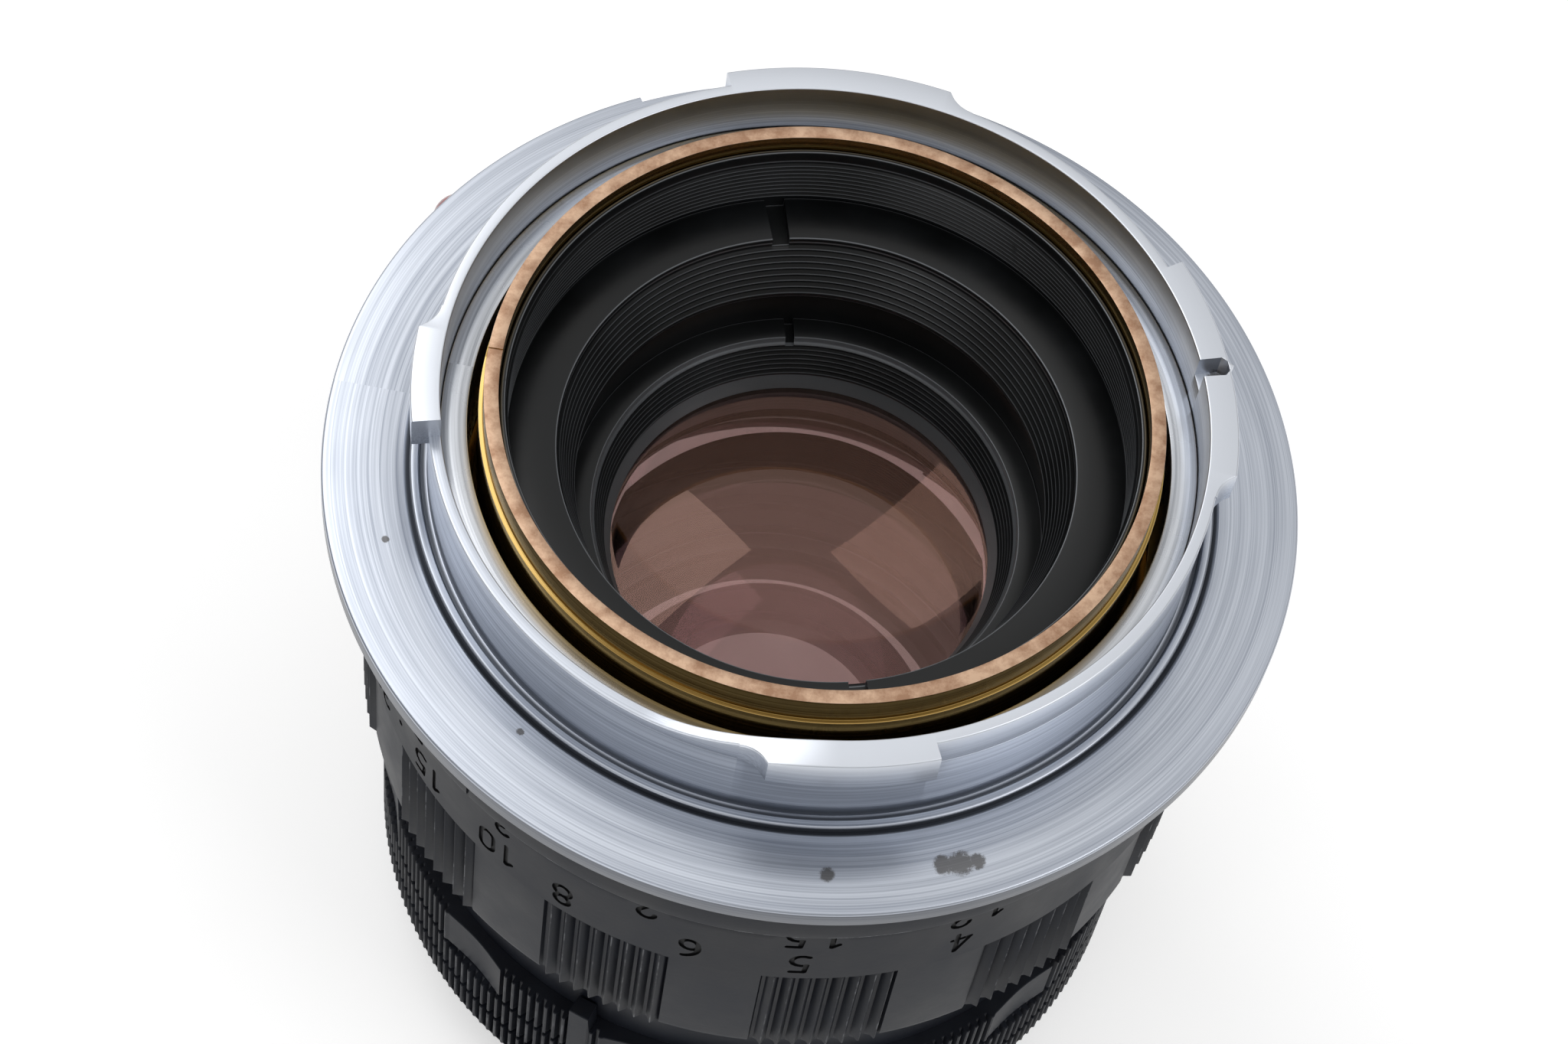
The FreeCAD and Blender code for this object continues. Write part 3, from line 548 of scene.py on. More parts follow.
def mesh_object(name, vertices, faces, material, body, replaces=(), sharp=32,
                merge=2e-7, wear=None):
    """Makes the mesh, merges doubles, drops faces without area and sets smooth shading."""
    mesh = bpy.data.meshes.new(name)
    mesh.from_pydata(vertices.tolist(), [], faces)
    rubbed = mesh.attributes.new("wear", "FLOAT", "POINT")
    worn = np.zeros(len(vertices)) if wear is None else wear.reshape(-1)
    rubbed.data.foreach_set("value", worn)
    work = bmesh.new()
    work.from_mesh(mesh)
    bmesh.ops.remove_doubles(work, verts=work.verts, dist=merge)
    bmesh.ops.dissolve_degenerate(work, edges=work.edges, dist=merge)
    bmesh.ops.recalc_face_normals(work, faces=work.faces)
    open_edges = sum(1 for edge in work.edges if len(edge.link_faces) != 2)
    volume_mm3 = work.calc_volume(signed=True) / MM ** 3
    work.to_mesh(mesh)
    work.free()
    mesh.polygons.foreach_set("use_smooth", np.ones(len(mesh.polygons), bool))
    mesh.set_sharp_from_angle(angle=math.radians(sharp))
    mesh.materials.append(material)
    piece = bpy.data.objects.new(name, mesh)
    bpy.context.collection.objects.link(piece)
    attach(piece, body)
    if replaces:
        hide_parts(*replaces)
    print(name, "faces:", len(mesh.polygons), "open edges:", open_edges, "mm3:",
          round(volume_mm3, 1))
    return piece


def turned(theta, radius, height):
    """[angle, point] arrays carried round the axis: x = r cos t, y = r sin t."""
    t = np.radians(theta)[:, None]
    points = np.stack([radius * np.cos(t), radius * np.sin(t), height + 0 * t], -1)
    return points.reshape(-1, 3)


def skin(name, theta, radius, height, material, body, replaces=(), slot=None, soft=0.05,
         closed=True, sharp=32, wear=None):
    """One turned piece, from arrays in mm; soft is how far its corners are rounded."""
    if soft:
        radius, height, wear = soften(radius, height, soft)
    mesh_object(name, turned(theta, radius, height) * MM,
                grid_faces(len(theta), radius.shape[1], closed), material, body, replaces,
                sharp, wear=wear)


# %% [markdown]
# ## The bayonet mount
# One piece of chromed brass: a wide flange, a tube and four lugs.  Each lug has one square
# end and one end that runs out in a scoop left by the round cutter.  A locking slot cuts the
# right lug, and a quarter of the rim is milled lower.  Booleans could cut all this from a
# cylinder, with thin slivers where the cuts meet.  Here the lugs, the rim and the slot are
# three functions of the angle, and one grid holds them all.

# %% Lugs and rim as functions of the angle
TUBE_TOP, TUBE_OUT, TUBE_IN = 7.44, 21.95, 21.28
LUG_R, LUG_LOW = 22.91, 5.14
LUGS = ((355.0, 396.0), (76.0, 113.5), (176.5, 196.5), (266.5, 293.5))
SLOT_AT, SLOT_HALF, SLOT_END_R, SLOT_DEEP = 17.5, 0.575, 22.56, 1.5
FLAT = (84.0, 121.0)
FLANGE_R, FLANGE_FLAT_R, FLANGE_LOW = 27.845, 27.50, -1.3
RIM_LOW, RIM_DROP = (196.5, 252.0, 280.0), 1.6


def lug_radius(t):
    """Outer radius: LUG_R inside a lug, and at its scooped end the near side of a circle of
    radius 1.9 centred at (23.91, start + 0.2 degrees)."""
    out = np.full(len(t), TUBE_OUT)
    for start, stop in LUGS:
        inside = within(t, start, stop) > 0
        delta = np.radians(((t - start - 0.2 + 180) % 360) - 180)
        root = 1.9 ** 2 - (23.91 * np.sin(delta)) ** 2
        scoop = 23.91 * np.cos(delta) - np.sqrt(np.maximum(root, 0))
        reach = np.where(root > 0, np.clip(scoop, TUBE_OUT, LUG_R), LUG_R)
        out = np.where(inside, reach, out)
    return out


def rim_height(t):
    """Full height, lower from 196.5 to 252 degrees, a half cosine back up to 280."""
    start, level, stop = RIM_LOW
    low = within(t, start, level)
    climb = within(t, level, stop) * (0.5 + 0.5 * np.cos(np.pi * (t - level) / (stop - level)))
    return TUBE_TOP - RIM_DROP * (low + climb)


print("lugs:", len(LUGS), "lowest rim:", round(float(rim_height(np.array([220.0]))[0]), 2))

# %% Mount flange
steps = [a for pair in LUGS for a in pair] + [RIM_LOW[1], RIM_LOW[2], *FLAT]
steps += [SLOT_AT - 1.5, SLOT_AT + 1.5]
in_slot = np.linspace(SLOT_AT - 1.49, SLOT_AT + 1.49, 9)
in_scoops = [(start + 0.02 + np.linspace(0, 4.2, 12)) % 360 for start, _ in LUGS]
theta = np.unique(np.concatenate([angles_with(steps, 900), in_slot, *in_scoops]))
flange = np.where(within(theta, *FLAT) > 0, FLANGE_FLAT_R, FLANGE_R)
top = rim_height(theta)
out = lug_radius(theta)
across = np.abs(22.0 * np.radians(((theta - SLOT_AT + 180) % 360) - 180))
slot = across < SLOT_HALF
tip = np.where(slot, SLOT_END_R + SLOT_HALF - across, TUBE_IN + 0.08)
floor_z = np.where(slot, TUBE_TOP - SLOT_DEEP, top - 0.02)
outline = [(TUBE_IN, FLANGE_LOW), (flange, FLANGE_LOW), (flange, -0.10), (flange - 0.10, 0),
           (23.25, 0), (22.9, -0.18), (22.9, 0.24), (22.8, 0.32), (22.45, 0.32),
           (22.30, -0.10), (TUBE_OUT, -0.10), (TUBE_OUT, LUG_LOW), (out - 0.04, LUG_LOW),
           (out, LUG_LOW + 0.04), (out, top - 0.07), (out - 0.07, top), (tip, top),
           (np.where(slot, tip, TUBE_IN + 0.02), floor_z),
           (TUBE_IN, np.where(slot, floor_z, top - 0.08))]
skin("mount_flange", theta, *stacked(outline, theta), satin_chrome, "mount",
     ["bayonet_mount"], "chrome_mount", soft=0.03)

# %% [markdown]
# ## The fixed sleeve
# Inside the bayonet tube stands the bright end of the sleeve that carries everything.  Its
# outline never changes, so this one could be a plain Screw; it goes through the same `skin`
# so that its edges and its wear are made like all the others.

# %% Sleeve
outline = [(19.75, -3.0), (21.9, -3.0), (21.9, -22.0), (22.35, -22.0), (22.35, -20.9),
           (22.6, -20.9), (22.6, -3.0), (24.75, -3.0), (24.75, -1.3), (21.24, -1.3),
           (21.24, 3.9), (19.75, 3.9)]
skin("rear_sleeve", ROUND, *stacked(outline, ROUND), turned_aluminium, "mount",
     ["fixed_sleeve"], "turned_aluminium", soft=0.08)

# %% [markdown]
# ## The cam tube
# A thin brass tube moves the camera's rangefinder arm.  A fitter's scribe line crosses its
# end face.  A bump could draw that line; it is cut here as a step between two angles, so
# that it is in the mesh too.

# %% Cam tube
SCRIBE = (181.6, 182.4)
theta = angles_with(SCRIBE, 540)
outline = [(18.09, -5.6), (19.92, -5.6), (19.92, -4.4), (19.17, -4.4), (19.17, 5.17),
           (18.92, 5.17), (18.92, 6.98), (18.09, 6.98)]
radius, height = stacked(outline, theta)
height[within(theta, *SCRIBE) > 0, -2:] -= 0.08
skin("cam_tube_brass", theta, radius, height, cam_brass, "head", ["cam_tube"], "brass_tube",
     soft=0.05)

# %% [markdown]
# ## The light well
# Down the middle runs a black well.  Its walls are cut in ridges, so that light which misses
# the lens is caught.  A bump could draw ridges this fine, but they show in outline against
# the light, so each tooth is in the mesh.

# %% Well wall
outline = [(17.92, 6.05), (17.72, 6.05), (17.66, 5.30)]
outline += ridges(17.50, 5.15, 17.50, 1.95, 9, 0.16)
outline += [(17.68, 1.90), (17.68, -0.35), (15.65, -0.35), (15.65, -9.5), (14.45, -9.5),
            (14.45, -21.5), (11.4, -21.5), (11.6, -23.0), (16.75, -23.0), (16.75, -36.0),
            (18.55, -36.0), (18.55, -8.0), (18.02, -8.0), (18.02, 5.95)]
skin("well_barrel", ROUND, *stacked(outline, ROUND), well_black, "head", ["optical_barrel"],
     "black_anodised", soft=0.08)

# %% [markdown]
# ## The two key rings
# Two threaded rings hold the cells.  Each has a pair of slots across it, for a tool with two
# blades.  A boolean would cut them; here a slot is a stretch of angles where no point may
# stand above the slot's floor, which keeps the ring one closed grid.

# %% Slots


def slot_angles(centres, width_mm, at_radius):
    """A straight slot of a given width spans asin(half width / radius) either side; for
    narrow slots that is the half width over the radius."""
    half = math.degrees(width_mm / 2 / at_radius)
    return [(c - half, c + half) for c in centres]


def sink(theta, height, slots, floor):
    """Inside each slot no point stands higher than the floor."""
    for start, stop in slots:
        cut = within(theta, start, stop) > 0
        height[cut] = np.minimum(height[cut], floor)


print("a 1.1 mm slot spans", np.round(slot_angles((107,), 1.10, 16.2)[0], 2).tolist())

# %% Large key ring
slots = slot_angles((107, 287), 1.10, 16.2)
theta = angles_with([a for s in slots for a in s], 540)
outline = [(17.65, 1.70), (14.73, 1.70), (14.70, 1.35)]
outline += ridges(14.55, 1.15, 13.45, -2.35, 8, 0.17)
outline += [(13.62, -2.65), (15.60, -2.65), (15.60, -0.35), (17.65, -0.35)]
radius, height, wear = soften(*stacked(outline, theta), 0.09)
sink(theta, height, slots, 1.05)
skin("key_ring_large", theta, radius, height, well_black, "head", ["slotted_ring_large"],
     "black_anodised", soft=0, wear=wear)

# %% Small key ring, lighter grey at its lip and round the glass
slots = slot_angles((103, 283), 0.55, 13.1)
theta = angles_with([a for s in slots for a in s], 540)
outline = [(13.87, -5.30), (12.46, -5.30)] + ridges(12.28, -5.60, 11.50, -7.90, 7, 0.12)
outline += [(11.63, -8.06), (11.14, -8.85), (13.87, -8.85)]
radius, height, wear = soften(*stacked(outline, theta), 0.07)
# Its wear is raised at its lip and round the glass, so that grey metal shows there.
wear[(height < -8.0) & (radius < 11.8)] = 1.0
wear[(height > -5.75) & (radius < 12.5)] = 0.8
sink(theta, height, slots, -5.9)
skin("key_ring_small", theta, radius, height, well_black, "head", ["slotted_ring_small"],
     "black_anodised", soft=0, wear=wear)

# %% [markdown]
# ## The rear cell
# The rear glass sits in a black cup, of which only a narrow ring shows.  A flat ring would
# do for the view; the whole cup is made, so that it closes and casts the right shade inside.

# %% Rear cell
outline = [(13.9, -2.65), (15.62, -2.65), (15.62, -9.5), (14.42, -9.5), (14.42, -20.9),
           (11.2, -20.9), (11.2, -20.1), (12.23, -20.1), (12.23, -8.9), (13.9, -8.9)]
skin("rear_cell_wall", ROUND, *stacked(outline, ROUND), well_black, "head", ["rear_cell"],
     "black_anodised", soft=0.04)

# %% [markdown]
# ## The lens elements
# A ground element is two spherical caps on a cylinder.  It could be cut from two spheres; as
# a turned outline its caps have even rings and its rim stays exact.  Glass must be closed
# and point outwards, or light bends the wrong way.  The poles are closed by merging.

# %% Spherical caps


def cap(rim, z_rim, bulge, count=40):
    """Points from the axis to the rim: z = z_rim + bulge - sag(r), where the sphere's radius
    is (rim^2 + bulge^2) / (2 bulge) and sag(r) is that radius less sqrt(radius^2 - r^2)."""
    sphere = (rim ** 2 + bulge ** 2) / (2 * abs(bulge))
    r = np.linspace(0, rim, count)
    sag = sphere - np.sqrt(sphere ** 2 - r ** 2)
    return np.stack([r, z_rim + bulge - math.copysign(1, bulge) * sag], 1)


print("rear cap rises", round(float(cap(11.14, -8.85, 1.15)[0, 1]) + 8.85, 2), "mm")

# %% Elements: name, node, edge radius, then (rim, height, bulge) of both caps
ELEMENTS = (
    ("rear_glass", "rear_element", 12.2, (11.14, -8.85, 1.15), (11.3, -11.60, 0.75),
     rear_glass),
    ("rear_inner_glass", "rear_inner_element", 12.2, (11.3, -15.40, 1.60),
     (10.2, -20.10, -3.20), inner_glass),
    ("front_inner_glass", "front_inner_element", 13.6, (10.4, -30.20, -2.60),
     (12.5, -34.20, 1.40), inner_glass),
    ("front_glass", "front_element", 15.25, (12.6, -35.40, -0.90), (14.0, -38.60, 2.60),
     rear_glass),
)
theta = np.arange(256) * 360.0 / 256
for name, node, edge, above, below, material in ELEMENTS:
    under = cap(below[0], below[1], -below[2])[::-1]
    rim = [[edge, above[1]], [edge, below[1]]]
    outline = np.concatenate([cap(*above), rim, under])
    skin(name, theta, *stacked(outline, theta), material, "head", [node], "coated_glass",
         soft=0, closed=False, sharp=20)

# %% [markdown]
# ## The depth collar
# The collar is fixed.  Short lines either side of the index line show the depth of field.
# They could be painted; the real ones are engraved, so each is a stretch of two angles where
# a few points of the outline move 0.12 mm inward.

# %% Depth collar
INDEX_AT = 195.6
INDEX = (INDEX_AT - 0.3, INDEX_AT + 0.3)
MARK_TURNS = (6.6, 13.3, 19.0, 26.1, 37.9)
marks = [INDEX_AT + side * turn for turn in MARK_TURNS for side in (-1, 1)]
half = math.degrees(0.10 / 26.3)
theta = angles_with([m + side * half for m in marks for side in (-1, 1)] + list(INDEX), 720)
is_mark = sum(within(theta, m - half, m + half) for m in marks) > 0
is_index = within(theta, *INDEX) > 0
outline = [(22.66, -4.0), (22.66, -3.0), (24.8, -3.0), (24.8, -1.3), (26.3, -1.3),
           (26.3, -5.48), (26.3, -5.50), (26.3, -6.37), (26.22, -6.45), (24.8, -6.45),
           (24.8, -4.0)]
radius, height = stacked(outline, theta)
radius[is_mark | is_index, 6:9] -= 0.12
height[is_index, 5] = -4.90
height[is_index, 6] = -4.92
skin("depth_collar_ring", theta, radius, height, black_lacquer, "mount", ["depth_collar"],
     "black_lacquer", soft=0.07)

# %% [markdown]
# ## The red bead
# A bead by the flange tells the hand how to turn the lens into the camera.  It is a stem
# with a dome, pointing outward.  A sphere pushed into the collar would do, but would not be
# closed against it; this one is turned about its own line, from the pole to the stem's foot.

# %% Bead
BEAD_AT, BEAD_Z, BEAD_R, BEAD_CENTRE_R, STEM_R = 148.0, -3.10, 1.60, 27.70, 25.60
SIDES = 64


def bead_points(angle, height, centre_r, size, stem_from):
    """Rings about the outward line: at size*cos(a) along it, of radius size*sin(a)."""
    a = math.radians(angle)
    outward = np.array([math.cos(a), math.sin(a), 0])
    sideways = np.array([-math.sin(a), math.cos(a), 0])
    upward = np.array([0, 0, 1.0])
    dome = np.linspace(0, math.pi / 2, 20)
    along = np.concatenate([centre_r + size * np.cos(dome), [stem_from, stem_from]])
    wide = np.concatenate([size * np.sin(dome), [size, 0.0]])
    turn = np.radians(np.arange(SIDES) * 360 / SIDES)
    ring = np.cos(turn)[:, None, None] * sideways + np.sin(turn)[:, None, None] * upward
    return along[None, :, None] * outward + wide[None, :, None] * ring + [0, 0, height]


points = bead_points(BEAD_AT, BEAD_Z, BEAD_CENTRE_R, BEAD_R, STEM_R)
mesh_object("index_bead_dome", points.reshape(-1, 3) * MM,
            grid_faces(SIDES, points.shape[1], False), bead_red, "mount", ["index_bead"])

# %% [markdown]
# ## Engraved figures
# The distance figures are cut into the lacquered ring.  Blender's text could be bent round
# the ring and subtracted, with ragged walls where the cuts meet.  Here each figure is a few
# strokes; a stroke is a line or an arc, widened and rounded at its ends, as a round cutter
# leaves it.

# %% Strokes
FIGURES = {
    "0": [[(0.07, 0.74), (0.30, 0.99), (0.53, 0.74)], [(0.53, 0.74), (0.53, 0.26)],
          [(0.53, 0.26), (0.30, 0.01), (0.07, 0.26)], [(0.07, 0.26), (0.07, 0.74)]],
    "1": [[(0.34, 0.0), (0.34, 1.0)], [(0.34, 1.0), (0.14, 0.82)]],
    "2": [[(0.06, 0.74), (0.38, 0.99), (0.48, 0.58)], [(0.48, 0.58), (0.06, 0.0)],
          [(0.06, 0.0), (0.54, 0.0)]],
    "3": [[(0.08, 0.86), (0.50, 0.80), (0.26, 0.54)],
          [(0.26, 0.54), (0.53, 0.24), (0.06, 0.12)]],
    "4": [[(0.42, 0.0), (0.42, 1.0)], [(0.42, 1.0), (0.04, 0.28)],
          [(0.04, 0.28), (0.56, 0.28)]],
    "5": [[(0.50, 1.0), (0.14, 1.0)], [(0.14, 1.0), (0.10, 0.58)],
          [(0.10, 0.58), (0.52, 0.30), (0.06, 0.08)]],
    "6": [[(0.46, 1.0), (0.12, 0.72), (0.07, 0.30)],
          [(0.07, 0.30), (0.30, 0.56), (0.53, 0.30)],
          [(0.07, 0.30), (0.30, 0.03), (0.53, 0.30)]],
    "8": [[(0.30, 1.0), (0.08, 0.77), (0.30, 0.54)],
          [(0.30, 1.0), (0.52, 0.77), (0.30, 0.54)],
          [(0.30, 0.54), (0.05, 0.27), (0.30, 0.0)],
          [(0.30, 0.54), (0.55, 0.27), (0.30, 0.0)]],
    ".": [[(0.18, 0.0), (0.20, 0.04)]],
    "o": [[(0.05, 0.45), (0.30, 0.20), (0.55, 0.45)],
          [(0.05, 0.45), (0.30, 0.70), (0.55, 0.45)]],
}


def along_stroke(points, count=10):
    """A line stays two points; three points become an arc of the circle through them."""
    p = np.asarray(points, float)
    if len(p) == 2:
        return p
    (ax, ay), (bx, by), (cx, cy) = p
    aa, bb, cc = ax * ax + ay * ay, bx * bx + by * by, cx * cx + cy * cy
    d = 2 * (ax * (by - cy) + bx * (cy - ay) + cx * (ay - by))
    ux = (aa * (by - cy) + bb * (cy - ay) + cc * (ay - by)) / d
    uy = (aa * (cx - bx) + bb * (ax - cx) + cc * (bx - ax)) / d
    size = math.hypot(ax - ux, ay - uy)
    a0, a1, a2 = [math.atan2(y - uy, x - ux) for x, y in p]
    sweep = (a2 - a0) % (2 * math.pi)
    if (a1 - a0) % (2 * math.pi) > sweep:
        sweep -= 2 * math.pi
    a = a0 + sweep * np.linspace(0, 1, count)
    return np.stack([ux + size * np.cos(a), uy + size * np.sin(a)], 1)


def widened(path, width, ends=5):
    """Closed outline of a stroke, anticlockwise: both sides offset by half the width, and a
    half circle round each end."""
    tangent = np.gradient(path, axis=0)
    tangent /= np.linalg.norm(tangent, axis=1, keepdims=True)
    normal = np.stack([-tangent[:, 1], tangent[:, 0]], 1)
    half = width / 2
    a = np.linspace(0, math.pi, ends + 2)[1:-1, None]
    end = path[-1] + half * (np.cos(a) * normal[-1] + np.sin(a) * tangent[-1])
    start = path[0] - half * (np.cos(a) * normal[0] + np.sin(a) * tangent[0])
    return np.concatenate([path + half * normal, end, (path - half * normal)[::-1],
                           start])[::-1]


def on_ring(text, size, angle, z, radius, width=0.32):
    """Outlines of a short number centred at (radius * angle, z) on the unrolled side, in mm.
    It reads upright with the front of the lens up, so both axes are turned over."""
    centre = np.array([math.radians(angle % 360) * radius, z])
    advances = [0.36 if c == "." else 0.72 for c in text]
    cursor = -(sum(advances) - 0.12) / 2
    found = []
    for c, step in zip(text, advances):
        for stroke in FIGURES[c]:
            path = (along_stroke(stroke) + [cursor, -0.5]) * size
            found.append(centre - widened(path, width))
        cursor += step
    return found


print("strokes in 1.5:", len(on_ring("1.5", 2.0, 0, 0, 25.6)))

# %% [markdown]
# ## Rolling an engraved band
# On the real ring a cutter sinks along each stroke.  Here the ring's side is unrolled flat,
# cut up along every stroke by a constrained triangulation, and rolled up again with the
# inside of each stroke set deeper.  A boolean would give the same, but can fail without a
# word where two strokes cross.

# %% Flat band


def flat_band(radius, z_low, z_high, outlines, count, rows=5):
    """Triangulates the band u = radius*angle with every outline as a constraint.  Gives the
    points, the triangles, all anticlockwise, and which of them are inside an outline."""
    u = np.linspace(0, 2 * math.pi * radius, count + 1)
    v = np.linspace(z_low, z_high, rows)
    grid = np.stack(np.meshgrid(u, v, indexing="ij"), -1).reshape(-1, 2)
    flat = [Vector(p) for p in grid.tolist()]
    border = [(i * rows + j, (i + 1) * rows + j) for i in range(count) for j in (0, rows - 1)]
    border += [(i + j, i + j + 1) for j in range(rows - 1) for i in (0, count * rows)]
    loops = []
    for outline in outlines:
        loops.append(list(range(len(flat), len(flat) + len(outline))))
        flat += [Vector(p) for p in outline.tolist()]
    points, _, triangles, _, _, inside = delaunay_2d_cdt(flat, border, loops, 0, 1e-5, True)
    points = np.array([tuple(p) for p in points])
    triangles = np.array([t for t in triangles if len(t) == 3])
    sunk = np.array([len(f) > 0 for f in inside])
    a, b, c = [points[triangles[:, k]] for k in range(3)]
    clockwise = np.cross(b - a, c - a) < 0
    triangles[clockwise] = triangles[clockwise][:, ::-1]
    return points, triangles, sunk


# %% Rolled band and ring


def rolled_up(points, triangles, sunk, radius, depth):
    """x = r cos(u / radius), y = r sin(u / radius), with r = radius, or radius - depth where
    sunk.  An edge between the two levels gets an upright wall."""
    angle = points[:, 0] / radius
    levels = [np.stack([r * np.cos(angle), r * np.sin(angle), points[:, 1]], 1)
              for r in (radius, radius - depth)]
    vertices = np.concatenate(levels)
    deeper = len(points)
    faces = (triangles + np.where(sunk, deeper, 0)[:, None]).tolist()
    edge_sides = {}
    for t, deep in zip(triangles.tolist(), sunk.tolist()):
        for a, b in zip(t, t[1:] + t[:1]):
            edge_sides.setdefault((min(a, b), max(a, b)), []).append((deep, a, b))
    for sides in edge_sides.values():
        if len(sides) == 2 and sides[0][0] != sides[1][0]:
            a, b = [(s[1], s[2]) for s in sides if s[0]][0]
            faces.append([b, a, a + deeper, b + deeper])
    used = np.unique(np.concatenate([np.asarray(f) for f in faces]))
    renumber = np.full(len(vertices), -1)
    renumber[used] = np.arange(len(used))
    return vertices[used], [[int(renumber[i]) for i in f] for f in faces]


def banded_ring(name, outline, figures, body, node, depth, count=480):
    """An engraved side plus the rest of the ring.  The outline runs from the foot of the
    side, round the back, to its head.  Faces set in from the side get the second finish."""
    (radius, z_low), z_high = outline[0], outline[-1][1]
    flat = flat_band(radius, z_low, z_high, figures, count)
    band, faces = rolled_up(*flat, radius, depth)
    theta = np.arange(count) * 360.0 / count
    rest = turned(theta, *stacked(outline, theta))
    faces += (np.asarray(grid_faces(count, len(outline), False)) + len(band)).tolist()
    piece = mesh_object(name, np.concatenate([band, rest]) * MM, faces, black_lacquer, body,
                        [node], sharp=35, merge=1e-6)
    piece.data.materials.append(engraved_black)
    middle = np.empty(3 * len(piece.data.polygons))
    piece.data.polygons.foreach_get("center", middle)
    x, y, z = middle.reshape(-1, 3).T / MM
    out = np.hypot(x, y)
    cut = (out < radius - 0.02) & (out > radius - depth - 0.05)
    cut &= (z > z_low + 0.02) & (z < z_high - 0.02)
    piece.data.polygons.foreach_set("material_index", cut.astype(np.int32))
    print(name, "engraved faces:", int(cut.sum()))


# %% [markdown]
# ## The distance ring
# Feet run in the lower row and metres in the upper.  The head moves by the same length for
# each degree, so a figure stands at an angle from the index that goes as one over its
# distance: 418.4 degrees over the feet, 127.5 over the metres.  The loops use that law
# rather than a table of angles.

# %% Distance scale ring
FOCUS_R = 25.6
FEET_TURN, METRE_TURN = 418.4, 127.5
figures = []
for text in ("30", "15", "10", "8", "6", "5", "4"):
    figures += on_ring(text, 2.15, INDEX_AT + FEET_TURN / float(text), -11.40, FOCUS_R)
for text in ("10", "5", "3", "2", "1.5", "1.2", "1"):
    figures += on_ring(text, 2.0, INDEX_AT + METRE_TURN / float(text), -8.15, FOCUS_R)
figures += on_ring(".", 2.0, INDEX_AT + FEET_TURN / 20, -11.9, FOCUS_R, width=0.40)
for side in (-1, 1):
    figures += on_ring("o", 2.0, INDEX_AT + side * 1.12, -10.0, FOCUS_R)
outline = [(FOCUS_R, -13.32), (FOCUS_R - 0.08, -13.40), (22.64, -13.40), (22.64, -5.20),
           (24.70, -5.20), (24.70, -6.55), (FOCUS_R - 0.12, -6.55), (FOCUS_R, -6.75)]
banded_ring("distance_ring", outline, figures, "focus", "focus_scale_ring", 0.13)

# %% [markdown]
# ## The focus grip
# Patches of sharp flutes alternate with smooth shallow panels.  One flute could be modelled
# and repeated by an Array modifier; as a radius that follows the angle, the whole grip is one
# closed mesh.  Only the crests of the flutes are worn.

# %% Focus grip
PERIOD, PATCH, FLUTES, PATCH_AT = 30.0, 17.4, 8, 253.9
pitch = PATCH / FLUTES
knots_a, knots_r = [], []
for start in PATCH_AT + PERIOD * np.arange(12) - PATCH / 2:
    for i in range(FLUTES):
        knots_a += [start + i * pitch + t * pitch for t in (0, 0.22, 0.58, 0.64, 0.70)]
        knots_r += [25.02, 25.02, 25.55, 25.60, 25.55]
    stop = start + PATCH
    knots_a += [stop, *(stop + 0.25 + (PERIOD - PATCH - 0.5) * np.linspace(0, 1, 13))]
    knots_r += [25.02] + [25.25] * 13
order = np.argsort(np.array(knots_a) % 360.0)
theta = (np.array(knots_a) % 360.0)[order]
grip = np.array(knots_r)[order]
outline = [(22.64, -13.42), (grip - 0.03, -13.42), (grip, -13.47), (grip, -23.05),
           (np.minimum(grip, 25.17), -23.50), (24.75, -23.50), (24.75, -22.25),
           (23.15, -22.25), (23.15, -20.95), (22.64, -20.95)]
radius, height = stacked(outline, theta)
skin("fluted_grip", theta, radius, height, black_lacquer, "focus", ["focus_grip_ring"],
     "black_lacquer", soft=0, sharp=24, wear=0.5 * (radius > 25.58))

# %% [markdown]
# ## The aperture ring
# Three rows of fine ridges run round it.  The rear row has smooth scoops for the fingertips
# and one raised tab.  A scoop could be cut with a cylinder; here it is half a sine wave taken
# off the radius, which is the same to the eye and leaves no sliver at its ends.

# %% Aperture ring
RIDGES, SCOOP, SCOOP_DEEP, TAB = 240, 12.0, 0.33, (249.45, 252.5)
TOOTH_A, TOOTH_R = (0.0, 0.30, 0.48, 0.65, 0.82), (23.95, 23.95, 24.36, 24.40, 24.36)


def row(r, high, low):
    """One row of ridges; its two ends are eased by 0.05 by 0.06 mm."""
    return [(r - 0.05, high), (r, high - 0.06), (r, low + 0.06), (r - 0.05, low)]


theta = ((np.arange(RIDGES)[:, None] + np.array(TOOTH_A)) * 360 / RIDGES).reshape(-1)
tooth = np.tile(TOOTH_R, RIDGES)
phase = (theta - 225.0) % 30.0
dip = SCOOP_DEEP * np.sin(np.pi * np.clip(phase / SCOOP, 0, 1))
tab = within(theta, *TAB) > 0
rear = np.where(tab, 24.5, np.where(phase < SCOOP, 24.28 - dip, tooth))
rear_top = np.where(tab, -29.0, -31.0)
outline = [(22.04, -31.0), (23.35, -31.0), (23.35, rear_top), *row(rear, rear_top, -34.9),
           (23.6, -34.9), (23.6, -35.35), *row(tooth, -35.35, -38.3),
           (23.6, -38.3), (23.6, -38.75), *row(tooth, -38.75, -41.3),
           (24.0, -41.3), (24.25, -41.38), (24.25, -41.5), (23.55, -42.4), (23.30, -42.4),
           (23.30, -40.9), (22.35, -40.9), (22.35, -37.9), (22.04, -37.9)]
radius, height = stacked(outline, theta)
skin("ridged_aperture_ring", theta, radius, height, black_lacquer, "aperture",
     ["aperture_ring"], "black_lacquer", soft=0, sharp=24,
     wear=0.3 * ((radius > 24.39) & (radius < 24.45)))

# %% [markdown]
# ## The head and the front
# Between the grips the black head barrel shows.  At the front a filter ring with a 0.5 mm
# thread carries the aperture figures, and a stepped ring with no lettering frames the glass.
# A thread is a helix; at this size closed grooves look the same, and turn as one outline.

